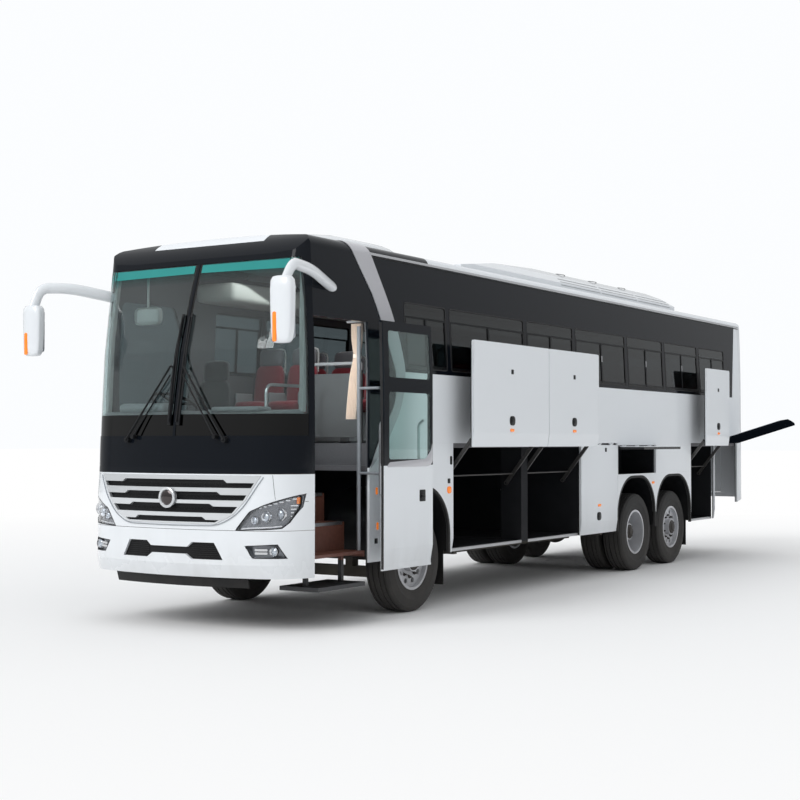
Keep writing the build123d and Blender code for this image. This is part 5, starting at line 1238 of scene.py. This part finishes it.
def pleat_depth(span, length):
    """How deep pleats of a sine's form are when a length of cloth is gathered into a span."""
    low, high = 0.0, 0.5
    for _ in range(30):
        depth = (low + high) / 2
        points = [(span * k / 200, depth * math.sin(2 * math.pi * PLEATS * k / 200)) for k in range(201)]
        if sum(math.dist(a, b) for a, b in zip(points, points[1:])) < length:
            low = depth
        else:
            high = depth
    return depth


def make_curtain():
    """The curtain as one sheet in pleats, and the band that ties it."""
    bm, tie_band = new_meshes(2)
    middle = (CURTAIN_LOW + CURTAIN_HIGH) / 2
    height = CURTAIN_HIGH.z - CURTAIN_LOW.z
    bmesh.ops.create_grid(bm, x_segments=PLEATS * 10, y_segments=40, size=0.5)
    spans = {}
    for vert in bm.verts:
        u, v = vert.co.x + 0.5, vert.co.y + 0.5
        tie = math.exp(-((v - TIE_AT) / 0.13) ** 2)
        span = round(0.122 - 0.062 * tie + 0.004 * math.sin(9.0 * v), 4)
        if span not in spans:
            spans[span] = pleat_depth(span, CURTAIN_WIDTH)
        wave = spans[span] * math.sin(2 * math.pi * PLEATS * u + 0.35 * math.sin(5.0 * v + 3.0 * u))
        sway = max(0.0, TIE_AT - v) / TIE_AT
        vert.co = (middle.x + (u - 0.5) * span - 0.03 * sway, middle.y + wave - 0.05 * sway,
                   CURTAIN_LOW.z + v * height)
    sheet = make_piece("door_curtain_sheet", bm, CURTAIN_CLOTH, replaces=("door_curtain",), sharp=180.0)
    thick = sheet.modifiers.new("cloth", "SOLIDIFY")
    thick.thickness = 0.0015
    thick.offset = 0.0
    z = CURTAIN_LOW.z + TIE_AT * height
    add_tube(tie_band, [(middle.x + a, middle.y + b, z) for a, b in around(16, 0.036, 0.046)],
             bar_section(0.002, 0.020), closed=True)
    make_piece("curtain_tie", tie_band, CURTAIN_CLOTH)


def make_bay_details():
    """The ribs on the bays' floors and their lamps."""
    ribs, lamps = new_meshes(2)
    for start, end in ((0.74, 2.24), (2.60, 3.74)):
        count = int((end - start) / 0.16)
        for i in range(count):
            y = start + (i + 0.5) * (end - start) / count
            add_block(ribs, (-1.15, y - 0.012, 0.6003), (1.17, y + 0.012, 0.606), 0.002, 1)
    make_piece("bay_floor_ribs", ribs, BLACK_LINING)
    for y in (1.5, 3.1):
        add_block(lamps, (0.60, y - 0.12, 1.150), (0.68, y + 0.12, 1.168), 0.008, 2)
    make_piece("bay_lamps", lamps, CLEAR_LENS)


for make in (make_front_lamps, make_front_trim, make_mirrors, make_arch_lips, make_gutter, make_window_frames,
             make_fittings, make_sills, make_wheels, make_door_trim, make_roof_details, make_rear,
             make_wiper_rubbers, make_shade_band, make_cab, make_seats, make_curtain, make_bay_details):
    make()


# Light, floor and camera
def link_new(name, data):
    """A new object in the scene."""
    made = bpy.data.objects.new(name, data)
    bpy.context.scene.collection.objects.link(made)
    return made


def make_world():
    """A pale sky, brighter where the camera sees it."""
    world = bpy.data.worlds.new("studio")
    bpy.context.scene.world = world
    world.use_nodes = True
    tree = world.node_tree
    tree.nodes.clear()
    up = add(tree, "SeparateXYZ", {0: add(tree, "TexCoord").outputs["Generated"]}).outputs[2]
    sky = add(tree, "MapRange", {"Value": up, "From Min": -0.05, "From Max": 0.45,
                                 "To Min": 0.32, "To Max": 0.85}).outputs[0]
    rays = add(tree, "LightPath").outputs
    seen = either(tree, rays["Is Camera Ray"], rays["Is Transmission Ray"])
    strength = add(tree, "Mix", {0: seen, 2: sky, 3: 1.0}, data_type="FLOAT").outputs[0]
    shader = add(tree, "Background", {"Color": (0.97, 0.985, 1.0), "Strength": strength})
    out = tree.nodes.new("ShaderNodeOutputWorld")
    tree.links.new(shader.outputs[0], out.inputs["Surface"])


def make_lamp(name, kind, energy, place, aim, **settings):
    data = bpy.data.lights.new(name, kind)
    for key, value in {"energy": energy, **settings}.items():
        setattr(data, key, value)
    lamp = link_new(name, data)
    lamp.location = place
    lamp.rotation_euler = (Vector(aim) - Vector(place)).to_track_quat("-Z", "Y").to_euler()
    return lamp


FLOOR_MIDDLE = 3.5
FADE_FROM, FADE_TO = 5.0, 19.0


def make_floor():
    """A pale floor that fades to white with distance."""
    bm = bmesh.new()
    bmesh.ops.create_grid(bm, x_segments=2, y_segments=2, size=300.0)
    mesh = bpy.data.meshes.new("floor")
    bm.to_mesh(mesh)
    bm.free()
    floor = link_new("floor", mesh)
    material, tree, inputs = new_material("pale_floor")
    feed_all(tree, inputs, {"Base Color": (0.88, 0.88, 0.88), "Roughness": 0.9, "Specular IOR Level": 0.1})
    x, y = places(tree)[:2]
    along = calc(tree, "POWER", minus(tree, y, FLOOR_MIDDLE), 2.0)
    away = calc(tree, "SQRT", plus(tree, times(tree, x, x), along))
    far = add(tree, "MapRange", {"Value": away, "From Min": FADE_FROM, "From Max": FADE_TO}).outputs[0]
    seen = times(tree, far, add(tree, "LightPath").outputs["Is Camera Ray"])
    glow = add(tree, "Emission", {"Color": (1.0, 1.0, 1.0), "Strength": 1.0}).outputs[0]
    shader = tree.nodes["Principled BSDF"].outputs[0]
    mixed = add(tree, "MixShader", {0: seen, 1: shader, 2: glow}).outputs[0]
    tree.links.new(mixed, tree.nodes["Material Output"].inputs["Surface"])
    mesh.materials.append(material)


def make_camera():
    data = bpy.data.cameras.new("camera")
    data.lens = CAMERA_LENS
    data.sensor_width = 36.0
    data.clip_end = 1000.0
    camera = link_new("camera", data)
    camera.location = CAMERA_PLACE
    camera.rotation_euler = (math.radians(90.0 + CAMERA_PITCH), 0.0, math.radians(CAMERA_AZIMUTH))
    bpy.context.scene.camera = camera


make_world()
make_lamp("key", "SUN", 1.35, (-3.0, -12.0, 9.0), (0.0, 0.0, 0.0), angle=0.6)
for fill in (
    make_lamp("saloon_front", "AREA", 14.0, (0.0, -0.4, 3.40), (0.0, -0.9, 2.0), size=1.2),
    make_lamp("doorway", "AREA", 7.0, (0.95, -1.72, 2.55), (1.12, -0.9, 2.3), size=0.4),
    make_lamp("saloon", "AREA", 18.0, (0.0, 4.2, 3.40), (0.0, 4.2, 2.0), shape="RECTANGLE", size=0.8,
              size_y=8.0),
):
    fill.visible_camera = fill.visible_glossy = fill.visible_transmission = False
make_floor()
make_camera()
bpy.context.scene.view_settings.view_transform = "Standard"
